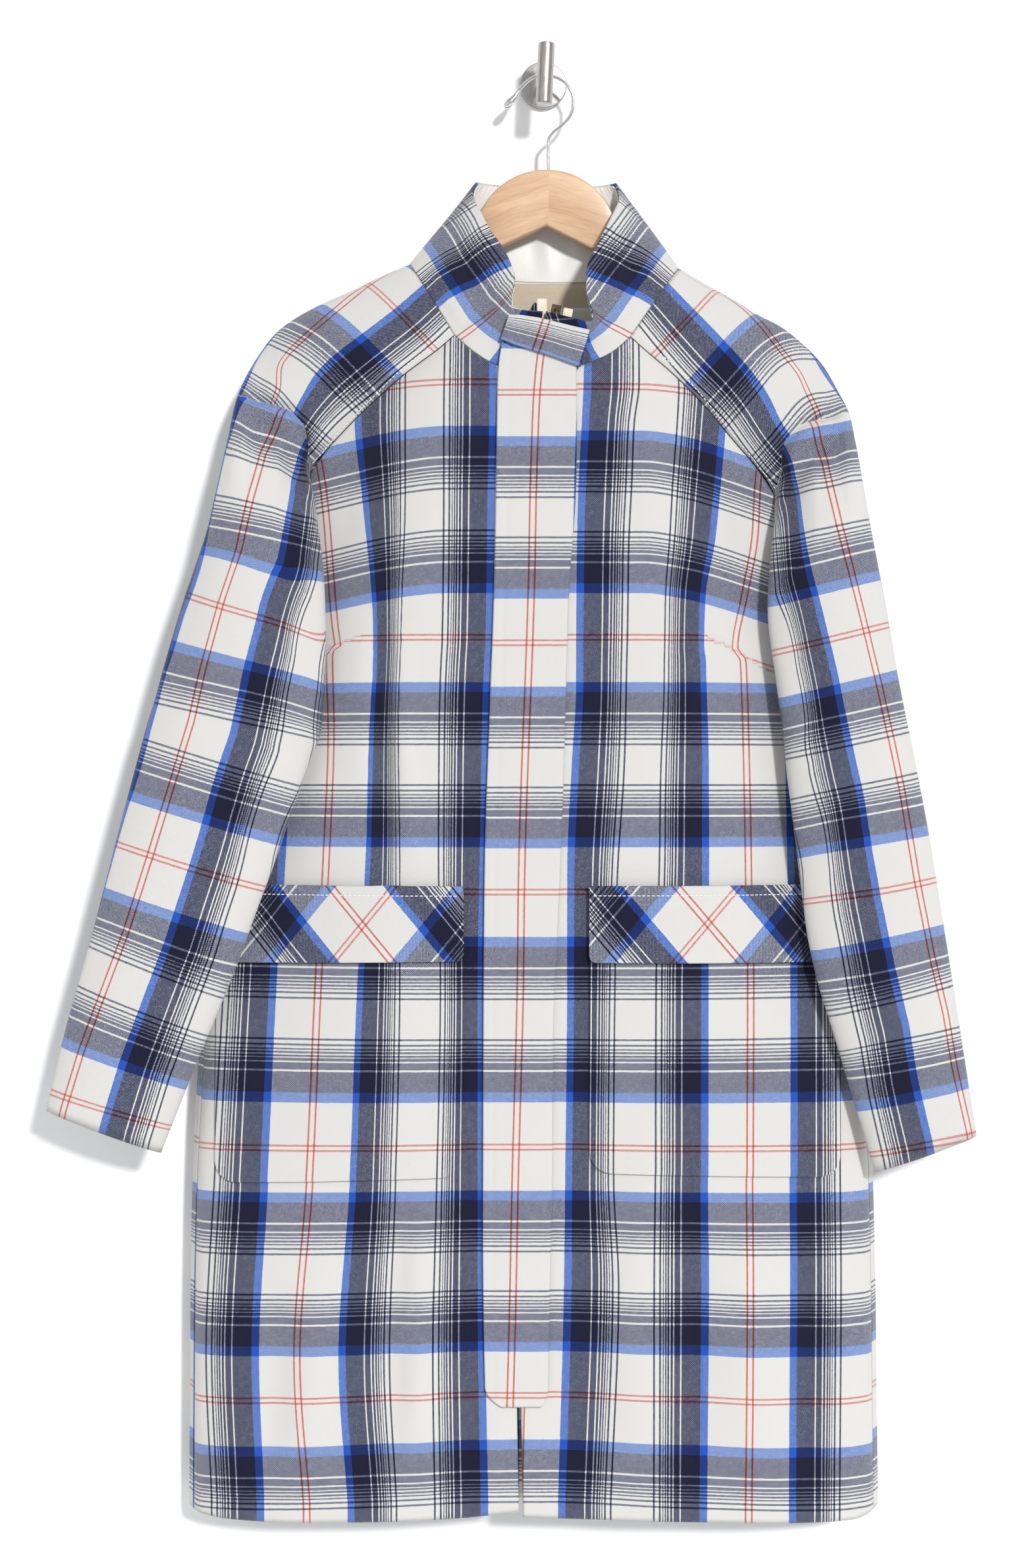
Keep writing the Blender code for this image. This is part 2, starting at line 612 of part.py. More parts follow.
def lathe(name, profile, centre, axis, mat):
    """Solid of revolution from (distance along axis, radius) pairs, closed at both ends."""
    axis = Vector(axis).normalized()
    turn = Vector((0, 0, 1)).rotation_difference(axis).to_matrix()
    verts = []
    faces = []
    for height, radius in profile:
        for k in range(ROUND_SIDES):
            a = 2 * math.pi * k / ROUND_SIDES
            verts.append(Vector(centre) + turn @ Vector((radius * math.cos(a), radius * math.sin(a), height)))
    rings = len(profile)
    for i in range(rings - 1):
        for k in range(ROUND_SIDES):
            n = (k + 1) % ROUND_SIDES
            faces.append((i * ROUND_SIDES + k, i * ROUND_SIDES + n, (i + 1) * ROUND_SIDES + n, (i + 1) * ROUND_SIDES + k))
    faces.append(tuple(range(ROUND_SIDES)))
    faces.append(tuple((rings - 1) * ROUND_SIDES + k for k in range(ROUND_SIDES)))
    return add_object(name, verts, faces, mat)


def wire(name, path, y, mat, sides=10, steps=2):
    """Round wire carried along a smoothed line in the plane of the hanger."""
    path = np.array(path)
    length = np.r_[0, np.cumsum(np.linalg.norm(np.diff(path[:, :2], axis=0), axis=1))]
    table = [(l, *row) for l, row in zip(length, path)]
    at = np.unique(np.concatenate([np.linspace(a, b, steps + 1) for a, b in zip(length, length[1:])]))
    x = along(table, 0, 1, at)
    z = along(table, 0, 2, at)
    r = along(table, 0, 3, at)
    tangent = unit(np.stack([np.gradient(x), np.gradient(z)], -1))
    verts = []
    faces = []
    for i in range(len(at)):
        side = (-tangent[i, 1], tangent[i, 0])
        for k in range(sides):
            a = 2 * math.pi * k / sides
            c = r[i] * math.cos(a)
            verts.append((x[i] + side[0] * c, y + 0.85 * r[i] * math.sin(a), z[i] + side[1] * c))
    for i in range(len(at) - 1):
        for k in range(sides):
            n = (k + 1) % sides
            faces.append((i * sides + k, i * sides + n, (i + 1) * sides + n, (i + 1) * sides + k))
    faces.append(tuple(range(sides)))
    faces.append(tuple((len(at) - 1) * sides + k for k in range(sides)))
    return add_object(name, verts, faces, mat)


def block(name, centre, size, turn, mat, bevel):
    """Small block turned in the plane of the front, with bevelled edges."""
    bm = bmesh.new()
    bmesh.ops.create_cube(bm, size=1.0)
    bmesh.ops.scale(bm, vec=size, verts=bm.verts)
    bmesh.ops.bevel(bm, geom=bm.edges[:], offset=bevel, segments=1, affect="EDGES")
    bmesh.ops.rotate(bm, cent=(0, 0, 0), matrix=Matrix.Rotation(turn, 3, "Y"), verts=bm.verts)
    bmesh.ops.translate(bm, vec=centre, verts=bm.verts)
    mesh = bpy.data.meshes.new(name)
    bm.to_mesh(mesh)
    bm.free()
    mesh.materials.append(mat)
    obj = bpy.data.objects.new(name, mesh)
    bpy.context.scene.collection.objects.link(obj)
    return obj


def build_shell(mats):
    """Fronts, back, sleeves and collar, whose shared edges are the same points."""
    columns_sleeve = 10
    lower_rows = 17
    body_rows = 15
    right = sleeve_rows(RAGLAN_RIGHT, SLEEVE_RIGHT, lower_rows)
    left = sleeve_rows(RAGLAN_LEFT, SLEEVE_LEFT, lower_rows)
    panels = {
        "front_right": (front_grid(-1, RAGLAN_RIGHT, NECK_RIGHT, HEM_RIGHT, body_rows, 14), 1),
        "front_left": (front_grid(1, RAGLAN_LEFT, NECK_LEFT, HEM_LEFT, body_rows, 14), -1),
        "back": (back_grid(20, body_rows), -1),
        "sleeve_front_right": (sleeve_grid(right, True, columns_sleeve), 1),
        "sleeve_back_right": (sleeve_grid(right, False, columns_sleeve), -1),
        "sleeve_front_left": (sleeve_grid(left, True, columns_sleeve), -1),
        "sleeve_back_left": (sleeve_grid(left, False, columns_sleeve), 1),
    }
    parts = [
        panels["front_right"][0][0][::-1],
        panels["sleeve_front_right"][0][0][::-1][1:],
        panels["sleeve_back_right"][0][0][1:],
        panels["back"][0][0][1:],
        panels["sleeve_back_left"][0][0][::-1][1:],
        panels["sleeve_front_left"][0][0][1:],
        panels["front_left"][0][0][1:],
    ]
    seam = np.vstack(parts)
    length = np.r_[0, np.cumsum(np.linalg.norm(np.diff(seam, axis=0), axis=1))]
    share = length / length[-1]
    top = np.stack([along(COLLAR_TOP, 0, k, share) for k in (1, 2, 3)], -1)
    middle = np.array([0.0, -0.045])
    collar = []
    for v in np.linspace(0, 1, COLLAR_ROWS + 1):
        p = top * (1 - v) + seam * v
        radial = unit(p[:, :2] - middle)
        swell = np.clip((np.minimum(share, 1 - share) - 0.07) / 0.08, 0, 1) * COLLAR_SWELL
        p[:, :2] += radial * swell[:, None] * math.sin(math.pi * v)
        collar.append(p)
    panels["collar_outer"] = (np.array(collar), -1)
    corners = [panels["sleeve_front_right"][0][8, -1], panels["sleeve_front_left"][0][8, -1]]
    normals = shared_normals(panels, corners)
    for name, (grid, flip) in panels.items():
        move = trimmed(grid, SEAM / 2)
        near = np.min([np.linalg.norm(grid - c, axis=-1) for c in corners], axis=0)
        move = move * np.where(near < 0.002, 8.0, 1.0)[..., None]
        n = normals[name]
        sheet(name, grid + move, grid + move - n * CLOTH, mats["plaid"])
    grid = panels["collar_outer"][0]
    n = normals["collar_outer"]
    rows = len(grid)
    lining = grid.copy()
    lining[0] = grid[0] + unit(grid[1] - grid[0]) * 0.0015
    lining[-1] = grid[-1] + unit(grid[-2] - grid[-1]) * 0.0030
    lining[:, 0] = lining[:, 0] + unit(lining[:, 1] - lining[:, 0]) * 0.0015
    lining[:, -1] = lining[:, -1] + unit(lining[:, -2] - lining[:, -1]) * 0.0015
    assert rows == COLLAR_ROWS + 1
    first = CLOTH + LOOSE
    sheet("collar_lining", lining - n * first, lining - n * (first + SATIN), mats["satin"])


def build_layers(mats):
    """Placket, tab, pockets, flaps and the pieces seen inside the neck."""
    steps = 28
    z = np.linspace(PLACKET[0][0], PLACKET[-1][0], steps)
    left = along(PLACKET, 0, 1, z)
    right = along(PLACKET, 0, 2, z)
    end = np.linspace(0, 1, 5)[1:]
    round_left = left[-1] + 0.014 * end**2
    round_right = right[-1] - 0.006 * end**2
    z_end = z[-1] + (PLACKET_END_Z - z[-1]) * end
    left = np.r_[left, round_left]
    right = np.r_[right, round_right]
    z = np.r_[z, z_end]
    u = np.linspace(0, 1, 6)
    x = left[:, None] + (right - left)[:, None] * u
    tilt = np.where(z > -0.26, (z + 0.26) / 0.027, 0)[:, None] * 0.010 * u
    over_front("placket", x, z[:, None] + np.zeros_like(x) - tilt, LAYER, DOUBLE, mats["plaid"])

    tab = sample(TAB, 9)
    v = np.linspace(0, 1, 4)[:, None]
    x = tab[:, 0] * (1 - v) + tab[:, 2] * v
    z = tab[:, 1] * (1 - v) + tab[:, 3] * v
    over_front("collar_tab", x, z, LAYER * 2 + DOUBLE, DOUBLE, mats["plaid"])

    spots = (("pocket_right", POCKET_RIGHT), ("pocket_left", POCKET_LEFT))
    for name, (x0, x1, top, low_a, low_b) in spots:
        patch_piece(name, x0, x1, top, low_a, low_b, POCKET_ROUND, 12, 7, LAYER, CLOTH, mats["plaid"])
    spots = (("flap_right", FLAP_RIGHT), ("flap_left", FLAP_LEFT))
    for name, (x0, x1, top, low_a, low_b) in spots:
        lift = LAYER * 2 + CLOTH
        patch_piece(name, x0, x1, top, low_a, low_b, FLAP_ROUND, 12, 4, lift, DOUBLE, mats["plaid"])

    inside = BACK_Y + CLOTH + SEAM + 0.0004
    neck_z = RAGLAN_RIGHT[0][7] - BACK_NECK_DIP - 0.004
    u = np.linspace(-1, 1, 9)
    x = u[None, :] * np.array([0.066, 0.074, 0.080])[:, None]
    z = np.array([neck_z, -0.200, -0.250])[:, None] - 0.004 * (1 - u**2)[None, :]
    z[0] += 0.001 * u**2
    y = np.zeros_like(x) - inside
    facing = np.stack([x, y, z], -1)
    step = np.array([0, -1, 0])
    sheet("neck_facing", facing, facing + step * SATIN, mats["satin"])
    x = u[None, :] * np.array([0.062, 0.066])[:, None] + 0.003
    z = np.array([-0.1712, -0.2350])[:, None] + 0.0015 * u[None, :] ** 2
    y = np.zeros_like(x) - inside - SATIN - SEAM
    band = np.stack([x, y, z], -1)
    sheet("label_band", band, band + step * SATIN, mats["label"])
    y0 = -inside - 2 * SATIN - 2 * SEAM
    small = np.array([[(0.010, y0, -0.192), (0.044, y0, -0.192)], [(0.010, y0, -0.212), (0.044, y0, -0.212)]])
    sheet("size_label", small, small + step * 0.001, mats["white"])

    z = np.linspace(-0.2165, -0.330, 6)
    u = np.linspace(0, 1, 5)
    x = -0.0170 + 0.042 * u[None, :] + along(BODY, 0, 4, z)[:, None]
    z = z[:, None] + np.zeros_like(x)
    z[0] += np.array([0.0, 0.020, 0.008, -0.001, -0.003])
    low = -(CLOTH * 2 + SATIN + SEAM * 2 + 0.0050)
    over_front("zip_guard", x, z, low, CLOTH, mats["plaid"])
    y = float(front_y(0.0, -0.21)) + CLOTH + SATIN + 0.0037
    turn = math.radians(12)
    block("zip_stop_right", (-0.0020, y, -0.2045), (0.0085, 0.0030, 0.0180), 0.0, mats["moulded"], 0.0006)
    block("zip_slider", (0.0089, y, -0.2085), (0.0078, 0.0032, 0.0160), turn, mats["brass"], 0.0006)
    block("zip_stop_left", (0.0186, y, -0.2115), (0.0080, 0.0030, 0.0160), turn, mats["moulded"], 0.0006)


def patch_piece(name, x0, x1, top, low_a, low_b, corner, cols, rows, lift, thick, mat):
    """Patch on a front: straight top, lower corners drawn in by a quarter round."""
    u = np.linspace(0, 1, cols)
    u = 0.5 - 0.5 * np.cos(math.pi * u) * (0.55 + 0.45 * np.abs(np.cos(math.pi * u)))
    u[0] = 0.0
    u[-1] = 1.0
    x = x0 + (x1 - x0) * u
    low = low_a + (low_b - low_a) * u
    edge = np.minimum(x - x0, x1 - x)
    short = np.clip(corner - edge, 0, corner)
    low = low + corner - np.sqrt(np.maximum(corner**2 - short**2, 0))
    v = np.linspace(0, 1, rows)[:, None]
    z = top * (1 - v) + low[None, :] * v
    over_front(name, x[None, :] + np.zeros_like(z), z, lift, thick, mat)


def build_hanger(mats):
    reach = column(HANGER, 0)
    top = column(HANGER, 1)
    low = column(HANGER, 2)
    reach = np.r_[-reach[:0:-1], reach]
    top = np.r_[top[:0:-1], top]
    low = np.r_[low[:0:-1], low]
    half = HANGER_THICK / 2
    ring = [(-half, -HANGER_ROUND), (-half + HANGER_ROUND, 0.0), (half - HANGER_ROUND, 0.0), (half, -HANGER_ROUND)]
    verts = []
    faces = []
    turn = Matrix.Rotation(HANGER_TURN, 3, "Y")
    centre = Vector((HANGER_X, HANGER_Y, HANGER_PIVOT_Z))
    for r, a, b in zip(reach, top, low):
        soft = min(HANGER_ROUND, (a - b) * 0.4)
        upper = [(y, a + d / HANGER_ROUND * soft) for y, d in ring]
        under = [(y, b - d / HANGER_ROUND * soft) for y, d in reversed(ring)]
        for y, z in upper + under:
            verts.append(centre + turn @ Vector((r, y, z - HANGER_PIVOT_Z)))
    n = 8
    for i in range(len(reach) - 1):
        for k in range(n):
            m = (k + 1) % n
            faces.append((i * n + k, i * n + m, (i + 1) * n + m, (i + 1) * n + k))
    faces.append(tuple(range(n)))
    faces.append(tuple((len(reach) - 1) * n + k for k in range(n)))
    add_object("hanger_wood", verts, faces, mats["wood"])
    wire("hanger_wire", WIRE, HANGER_Y, mats["chrome"])


def build_hook(mats):
    edge = 0.0010
    plate = [(0.0, PLATE_R), (PLATE_THICK - edge, PLATE_R), (PLATE_THICK, PLATE_R - edge)]
    lathe("wall_plate", plate, (0, 0, 0), (0, -1, 0), mats["steel"])
    reach = -BAR_Y - BAR_R - SEAM - 0.0002
    stem = [(PLATE_THICK + SEAM, STEM_R), (reach, STEM_R)]
    lathe("wall_stem", stem, (0, 0, -0.001), (0, -1, 0), mats["steel"])
    length = BAR_TOP - BAR_LOW
    bar = [(0, BAR_R - edge), (edge, BAR_R), (length - edge, BAR_R), (length, BAR_R - edge)]
    axis = (math.sin(BAR_LEAN), 0, math.cos(BAR_LEAN))
    lathe("wall_bar", bar, (0.0001, BAR_Y, BAR_LOW), axis, mats["steel"])


def main():
    for obj in list(bpy.data.objects):
        bpy.data.objects.remove(obj, do_unlink=True)
    mats = {
        "plaid": material("plaid_wool", (0.62, 0.63, 0.70), 0.9),
        "satin": material("white_satin", (0.84, 0.83, 0.80), 0.4),
        "label": material("beige_label", (0.69, 0.56, 0.38), 0.6),
        "white": material("white_label", (0.85, 0.85, 0.84), 0.6),
        "moulded": material("zip_plastic", (0.86, 0.82, 0.72), 0.4),
        "brass": material("zip_metal", (0.12, 0.10, 0.08), 0.35, 1.0),
        "wood": material("light_wood", (0.72, 0.46, 0.25), 0.45),
        "chrome": material("wire_chrome", (0.80, 0.80, 0.82), 0.12, 1.0),
        "steel": material("hook_steel", (0.62, 0.62, 0.63), 0.3, 1.0),
    }
    build_shell(mats)
    build_layers(mats)
    build_hanger(mats)
    build_hook(mats)


main()
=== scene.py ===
import math

import bpy
import numpy as np
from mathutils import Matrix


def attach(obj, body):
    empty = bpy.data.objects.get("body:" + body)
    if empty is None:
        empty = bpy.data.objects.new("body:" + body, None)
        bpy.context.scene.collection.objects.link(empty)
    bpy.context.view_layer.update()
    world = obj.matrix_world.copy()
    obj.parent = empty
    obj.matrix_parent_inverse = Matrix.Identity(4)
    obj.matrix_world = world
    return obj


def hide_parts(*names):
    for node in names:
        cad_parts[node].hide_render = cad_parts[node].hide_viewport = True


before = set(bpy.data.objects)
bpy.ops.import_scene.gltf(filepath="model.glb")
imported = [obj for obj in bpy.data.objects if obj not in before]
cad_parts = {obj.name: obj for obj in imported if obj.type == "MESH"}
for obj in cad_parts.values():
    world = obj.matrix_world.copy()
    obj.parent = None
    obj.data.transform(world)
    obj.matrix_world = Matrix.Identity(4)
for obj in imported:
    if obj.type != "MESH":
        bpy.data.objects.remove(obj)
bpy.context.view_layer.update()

# Sizes of the coat, in metres.
# The tables repeat the solids' own, so every shell lies where its solid does.
coat = {
    "cloth": 0.0022,        # wool cloth
    "double": 0.0030,       # two layers sewn together
    "satin": 0.0012,
    "layerGap": 0.0007,     # under a piece that lies on a panel
    "looseGap": 0.0010,     # behind the collar's lining
    "seamGap": 0.0001,      # each panel stops this far from its seam
    "sideWrap": 0.19,       # how far round the side the back comes, radians
    "midY": 0.030,
    "backY": 0.0035,
    "backHemZ": -1.2120,
    "backNeckDip": 0.0060,
    "collarSwell": 0.0025,
    "rim": 0.32,            # how far a cut edge is rounded out, as a share of the thickness
    "pressed": 0.0022,      # how wide the cloth sinks beside an edge
}

bodyTable = [
    # z,      left,    right,   depth,  centre,  full
    (-0.150, -0.0750, 0.0750, 0.0560, 0.0006, 0.0),
    (-0.200, -0.1080, 0.1080, 0.0575, 0.0000, 0.0),
    (-0.229, -0.1300, 0.1290, 0.0590, -0.0035, 0.0),
    (-0.260, -0.1740, 0.1700, 0.0605, -0.0058, 0.0),
    (-0.290, -0.1960, 0.1920, 0.0620, -0.0066, 0.0),
    (-0.345, -0.2060, 0.2030, 0.0640, -0.0080, 0.0),
    (-0.400, -0.2170, 0.2130, 0.0650, -0.0096, 0.0),
    (-0.440, -0.2270, 0.2220, 0.0650, -0.0107, 0.0),
    (-0.482, -0.2380, 0.2330, 0.0640, -0.0119, 0.0),
    (-0.549, -0.2530, 0.2460, 0.0620, -0.0140, 0.0),
    (-0.661, -0.2740, 0.2620, 0.0600, -0.0180, 0.15),
    (-0.773, -0.2880, 0.2720, 0.0590, -0.0203, 0.45),
    (-0.884, -0.2960, 0.2780, 0.0580, -0.0216, 0.8),
    (-0.996, -0.2995, 0.2815, 0.0570, -0.0222, 1.0),
    (-1.108, -0.3005, 0.2830, 0.0560, -0.0212, 1.0),
    (-1.216, -0.3010, 0.2842, 0.0550, -0.0192, 1.0),
]
profileTable = [
    # across, chest, hem
    (0.00, 1.000, 1.000),
    (0.35, 0.985, 0.990),
    (0.50, 0.930, 0.965),
    (0.60, 0.835, 0.935),
    (0.70, 0.670, 0.890),
    (0.78, 0.510, 0.825),
    (0.86, 0.400, 0.735),
    (0.93, 0.310, 0.580),
    (0.97, 0.220, 0.400),
    (1.00, 0.000, 0.000),
]
foldTable = [
    # top x,  hem x,  width, rise,   start z
    (-0.105, -0.130, 0.050, 0.0030, -0.42),
    (-0.060, -0.075, 0.035, -0.0020, -0.60),
    (-0.170, -0.215, 0.045, 0.0025, -0.75),
    (0.085, 0.100, 0.050, 0.0030, -0.40),
    (0.035, 0.045, 0.035, -0.0020, -0.62),
    (0.150, 0.190, 0.045, 0.0025, -0.78),
]
raglanRight = [
    # out x,   out y,   out z,   seam x,  seam z,  back x,  back y,  back z,  bulge
    (-0.1144, -0.030, -0.1586, -0.0749, -0.2256, -0.0800, -0.0050, -0.1560, 0.003),
    (-0.1390, -0.030, -0.1692, -0.0892, -0.2374, -0.0930, -0.0050, -0.1750, 0.005),
    (-0.1619, -0.031, -0.1806, -0.1047, -0.2485, -0.1080, -0.0055, -0.1950, 0.007),
    (-0.1872, -0.030, -0.1915, -0.1197, -0.2596, -0.1230, -0.0065, -0.2170, 0.009),
    (-0.2086, -0.031, -0.2031, -0.1341, -0.2719, -0.1390, -0.0075, -0.2390, 0.011),
    (-0.2264, -0.032, -0.2162, -0.1509, -0.2863, -0.1550, -0.0100, -0.2620, 0.013),
    (-0.2407, -0.035, -0.2348, -0.1677, -0.3023, -0.1710, -0.0140, -0.2860, 0.015),
    (-0.2526, -0.045, -0.2577, -0.1835, -0.3189, -0.1850, -0.0260, -0.3110, 0.017),
    (-0.2597, -0.057, -0.2795, -0.1972, -0.3371, -0.1972, -0.0470, -0.3371, 0.019),
]
raglanLeft = [
    # out x,   out y,   out z,   seam x,  seam z,  back x,  back y,  back z,  bulge
    (0.1150, -0.030, -0.1619, 0.0717, -0.2272, 0.0800, -0.0050, -0.1590, 0.003),
    (0.1396, -0.030, -0.1765, 0.0866, -0.2401, 0.0930, -0.0050, -0.1790, 0.005),
    (0.1608, -0.031, -0.1884, 0.1021, -0.2529, 0.1080, -0.0055, -0.2000, 0.007),
    (0.1815, -0.030, -0.2010, 0.1177, -0.2668, 0.1220, -0.0065, -0.2230, 0.009),
    (0.2028, -0.031, -0.2126, 0.1322, -0.2813, 0.1370, -0.0075, -0.2470, 0.011),
    (0.2222, -0.032, -0.2285, 0.1474, -0.2979, 0.1510, -0.0100, -0.2720, 0.013),
    (0.2371, -0.035, -0.2455, 0.1627, -0.3150, 0.1660, -0.0140, -0.2980, 0.015),
    (0.2488, -0.045, -0.2684, 0.1786, -0.3322, 0.1815, -0.0270, -0.3270, 0.017),
    (0.2569, -0.057, -0.2883, 0.1946, -0.3560, 0.1946, -0.0470, -0.3560, 0.019),
]
sleeveRight = [
    # out x,   out z,   in x,    in z,    y,      front,  back
    (-0.2647, -0.3067, -0.1921, -0.3612, -0.0640, 0.020, 0.016),
    (-0.2697, -0.3332, -0.1885, -0.3853, -0.0720, 0.021, 0.015),
    (-0.2754, -0.3617, -0.1849, -0.4115, -0.0770, 0.022, 0.014),
    (-0.2828, -0.3933, -0.1825, -0.4419, -0.0790, 0.023, 0.014),
    (-0.3022, -0.4512, -0.1813, -0.5019, -0.0800, 0.024, 0.014),
    (-0.3171, -0.5018, -0.1851, -0.5529, -0.0800, 0.024, 0.015),
    (-0.3242, -0.5281, -0.1928, -0.5748, -0.0800, 0.023, 0.016),
    (-0.3319, -0.5539, -0.2010, -0.5973, -0.0820, 0.022, 0.013),
    (-0.3480, -0.6143, -0.2241, -0.6653, -0.0830, 0.021, 0.012),
    (-0.3595, -0.6588, -0.2384, -0.7037, -0.0835, 0.021, 0.012),
    (-0.3728, -0.7105, -0.2538, -0.7461, -0.0830, 0.020, 0.012),
    (-0.3856, -0.7562, -0.2709, -0.7884, -0.0810, 0.019, 0.013),
    (-0.3995, -0.8041, -0.2914, -0.8368, -0.0780, 0.018, 0.014),
    (-0.4163, -0.8719, -0.3196, -0.9074, -0.0740, 0.016, 0.014),
]
sleeveLeft = [
    # out x,   out z,   in x,    in z,    y,      front,  back
    (0.2606, -0.3095, 0.1924, -0.3816, -0.0640, 0.020, 0.016),
    (0.2645, -0.3360, 0.1892, -0.4068, -0.0720, 0.021, 0.015),
    (0.2684, -0.3628, 0.1867, -0.4318, -0.0770, 0.022, 0.014),
    (0.2730, -0.3895, 0.1859, -0.4567, -0.0790, 0.023, 0.014),
    (0.2836, -0.4458, 0.1917, -0.5074, -0.0800, 0.024, 0.014),
    (0.2941, -0.5051, 0.1988, -0.5600, -0.0800, 0.024, 0.015),
    (0.3001, -0.5364, 0.2015, -0.5896, -0.0800, 0.023, 0.016),
    (0.3067, -0.5693, 0.2054, -0.6214, -0.0820, 0.022, 0.013),
    (0.3195, -0.6369, 0.2137, -0.6900, -0.0830, 0.021, 0.012),
    (0.3255, -0.6737, 0.2186, -0.7268, -0.0835, 0.021, 0.012),
    (0.3322, -0.7149, 0.2270, -0.7642, -0.0830, 0.020, 0.012),
    (0.3395, -0.7589, 0.2370, -0.7961, -0.0810, 0.019, 0.013),
    (0.3468, -0.8030, 0.2497, -0.8374, -0.0780, 0.018, 0.014),
    (0.3614, -0.8929, 0.2758, -0.9233, -0.0740, 0.016, 0.014),
]
shoulderSeam = [
    # row share, how far the front half stays below the shoulder edge, radians
    (0.0, 0.42),
    (0.5, 0.36),
    (1.0, 0.10),
]
neckRight = [
    # x,       z
    (-0.0749, -0.2256),
    (-0.0628, -0.2372),
    (-0.0500, -0.2465),
    (-0.0384, -0.2522),
    (-0.0220, -0.2562),
    (-0.0070, -0.2580),
]
neckLeft = [
    # x,       z
    (0.0717, -0.2272),
    (0.0585, -0.2392),
    (0.0440, -0.2470),
    (0.0300, -0.2522),
    (0.0160, -0.2560),
    (-0.0030, -0.2580),
]
hemRight = [
    # x,       z
    (-0.2960, -1.2114),
    (-0.2650, -1.2140),
    (-0.2176, -1.2145),
    (-0.1462, -1.2130),
    (-0.0694, -1.2102),
    (-0.0215, -1.2050),
]
hemLeft = [
    # x,       z
    (0.2790, -1.2114),
    (0.2600, -1.2160),
    (0.1900, -1.2150),
    (0.1226, -1.2129),
    (0.0403, -1.2113),
    (-0.0170, -1.2090),
]
collarTop = [
    # share,  x,       y,       z
    (0.000, -0.0012, -0.0875, -0.2067),
    (0.030, -0.0189, -0.0870, -0.2050),
    (0.055, -0.0282, -0.0855, -0.2000),
    (0.085, -0.0268, -0.0825, -0.1880),
    (0.120, -0.0246, -0.0780, -0.1770),
    (0.155, -0.0315, -0.0690, -0.1556),
    (0.195, -0.0449, -0.0560, -0.1330),
    (0.240, -0.0527, -0.0450, -0.1166),
    (0.290, -0.0606, -0.0310, -0.0985),
    (0.330, -0.0569, -0.0170, -0.0855),
    (0.400, -0.0350, -0.0080, -0.0870),
    (0.500, 0.0030, -0.0060, -0.0895),
    (0.600, 0.0410, -0.0080, -0.0878),
    (0.670, 0.0616, -0.0170, -0.0862),
    (0.710, 0.0640, -0.0310, -0.1010),
    (0.755, 0.0569, -0.0450, -0.1200),
    (0.795, 0.0453, -0.0590, -0.1449),
    (0.830, 0.0360, -0.0700, -0.1666),
    (0.860, 0.0349, -0.0790, -0.1869),
    (0.888, 0.0389, -0.0840, -0.2025),
    (0.925, 0.0413, -0.0853, -0.2105),
    (0.945, 0.0372, -0.0858, -0.2148),
    (0.965, 0.0240, -0.0870, -0.2120),
    (1.000, 0.0012, -0.0875, -0.2067),
]
placketTable = [
    # z,      left,    right
    (-0.2330, -0.0358, 0.0290),
    (-0.2550, -0.0385, 0.0266),
    (-0.3085, -0.0396, 0.0268),
    (-0.3517, -0.0402, 0.0263),
    (-0.4320, -0.0417, 0.0209),
    (-0.5450, -0.0458, 0.0174),
    (-0.6590, -0.0496, 0.0139),
    (-0.8210, -0.0509, 0.0074),
    (-0.9180, -0.0511, 0.0069),
    (-0.9800, -0.0512, 0.0058),
    (-1.0420, -0.0506, 0.0042),
    (-1.1000, -0.0494, 0.0034),
]
tabTable = [
    # x top,  z top,   x low,   z low
    (-0.0293, -0.2110, -0.0362, -0.2313),
    (-0.0196, -0.2113, -0.0250, -0.2362),
    (-0.0050, -0.2135, -0.0061, -0.2421),
    (0.0100, -0.2172, 0.0090, -0.2470),
    (0.0240, -0.2207, 0.0200, -0.2512),
    (0.0382, -0.2240, 0.0298, -0.2545),
]

# Soft creases of the two fronts, over the solids' own folds. A ridge has a positive rise.
frontCreases = [
    # x 0,    z 0,    x 1,    z 1,    width,  rise,    bend
    (-0.138, -0.440, -0.126, -0.690, 0.0110, -0.0063, 0.004),
    (-0.119, -0.455, -0.112, -0.660, 0.0120, 0.0039, 0.003),
    (-0.128, -0.900, -0.140, -1.200, 0.0170, -0.0045, -0.010),
    (-0.103, -0.930, -0.098, -1.200, 0.0150, 0.0042, 0.006),
    (-0.185, -0.980, -0.195, -1.205, 0.0180, 0.0033, 0.004),
    (-0.225, -1.010, -0.232, -1.205, 0.0150, -0.0030, -0.004),
    (-0.070, -0.340, -0.092, -0.470, 0.0130, -0.0018, 0.004),
    (-0.160, -0.330, -0.118, -0.400, 0.0100, -0.0021, 0.005),
    (0.108, -0.400, 0.098, -0.640, 0.0110, -0.0060, -0.004),
    (0.124, -0.410, 0.115, -0.600, 0.0130, 0.0036, 0.003),
    (0.085, -0.880, 0.078, -1.200, 0.0190, 0.0030, 0.006),
    (0.118, -0.930, 0.125, -1.205, 0.0170, -0.0039, -0.006),
    (0.170, -0.950, 0.182, -1.205, 0.0190, 0.0033, 0.004),
    (0.215, -1.000, 0.224, -1.205, 0.0160, -0.0027, 0.004),
    (0.060, -0.330, 0.078, -0.450, 0.0140, -0.0015, -0.004),
    (0.150, -0.345, 0.108, -0.410, 0.0110, -0.0019, -0.004),
    (-0.040, -1.120, -0.046, -1.206, 0.0140, 0.0024, 0.002),
]


def tableColumn(table, index):
    # One column of a table as an array.
    return np.array([row[index] for row in table], dtype=float)


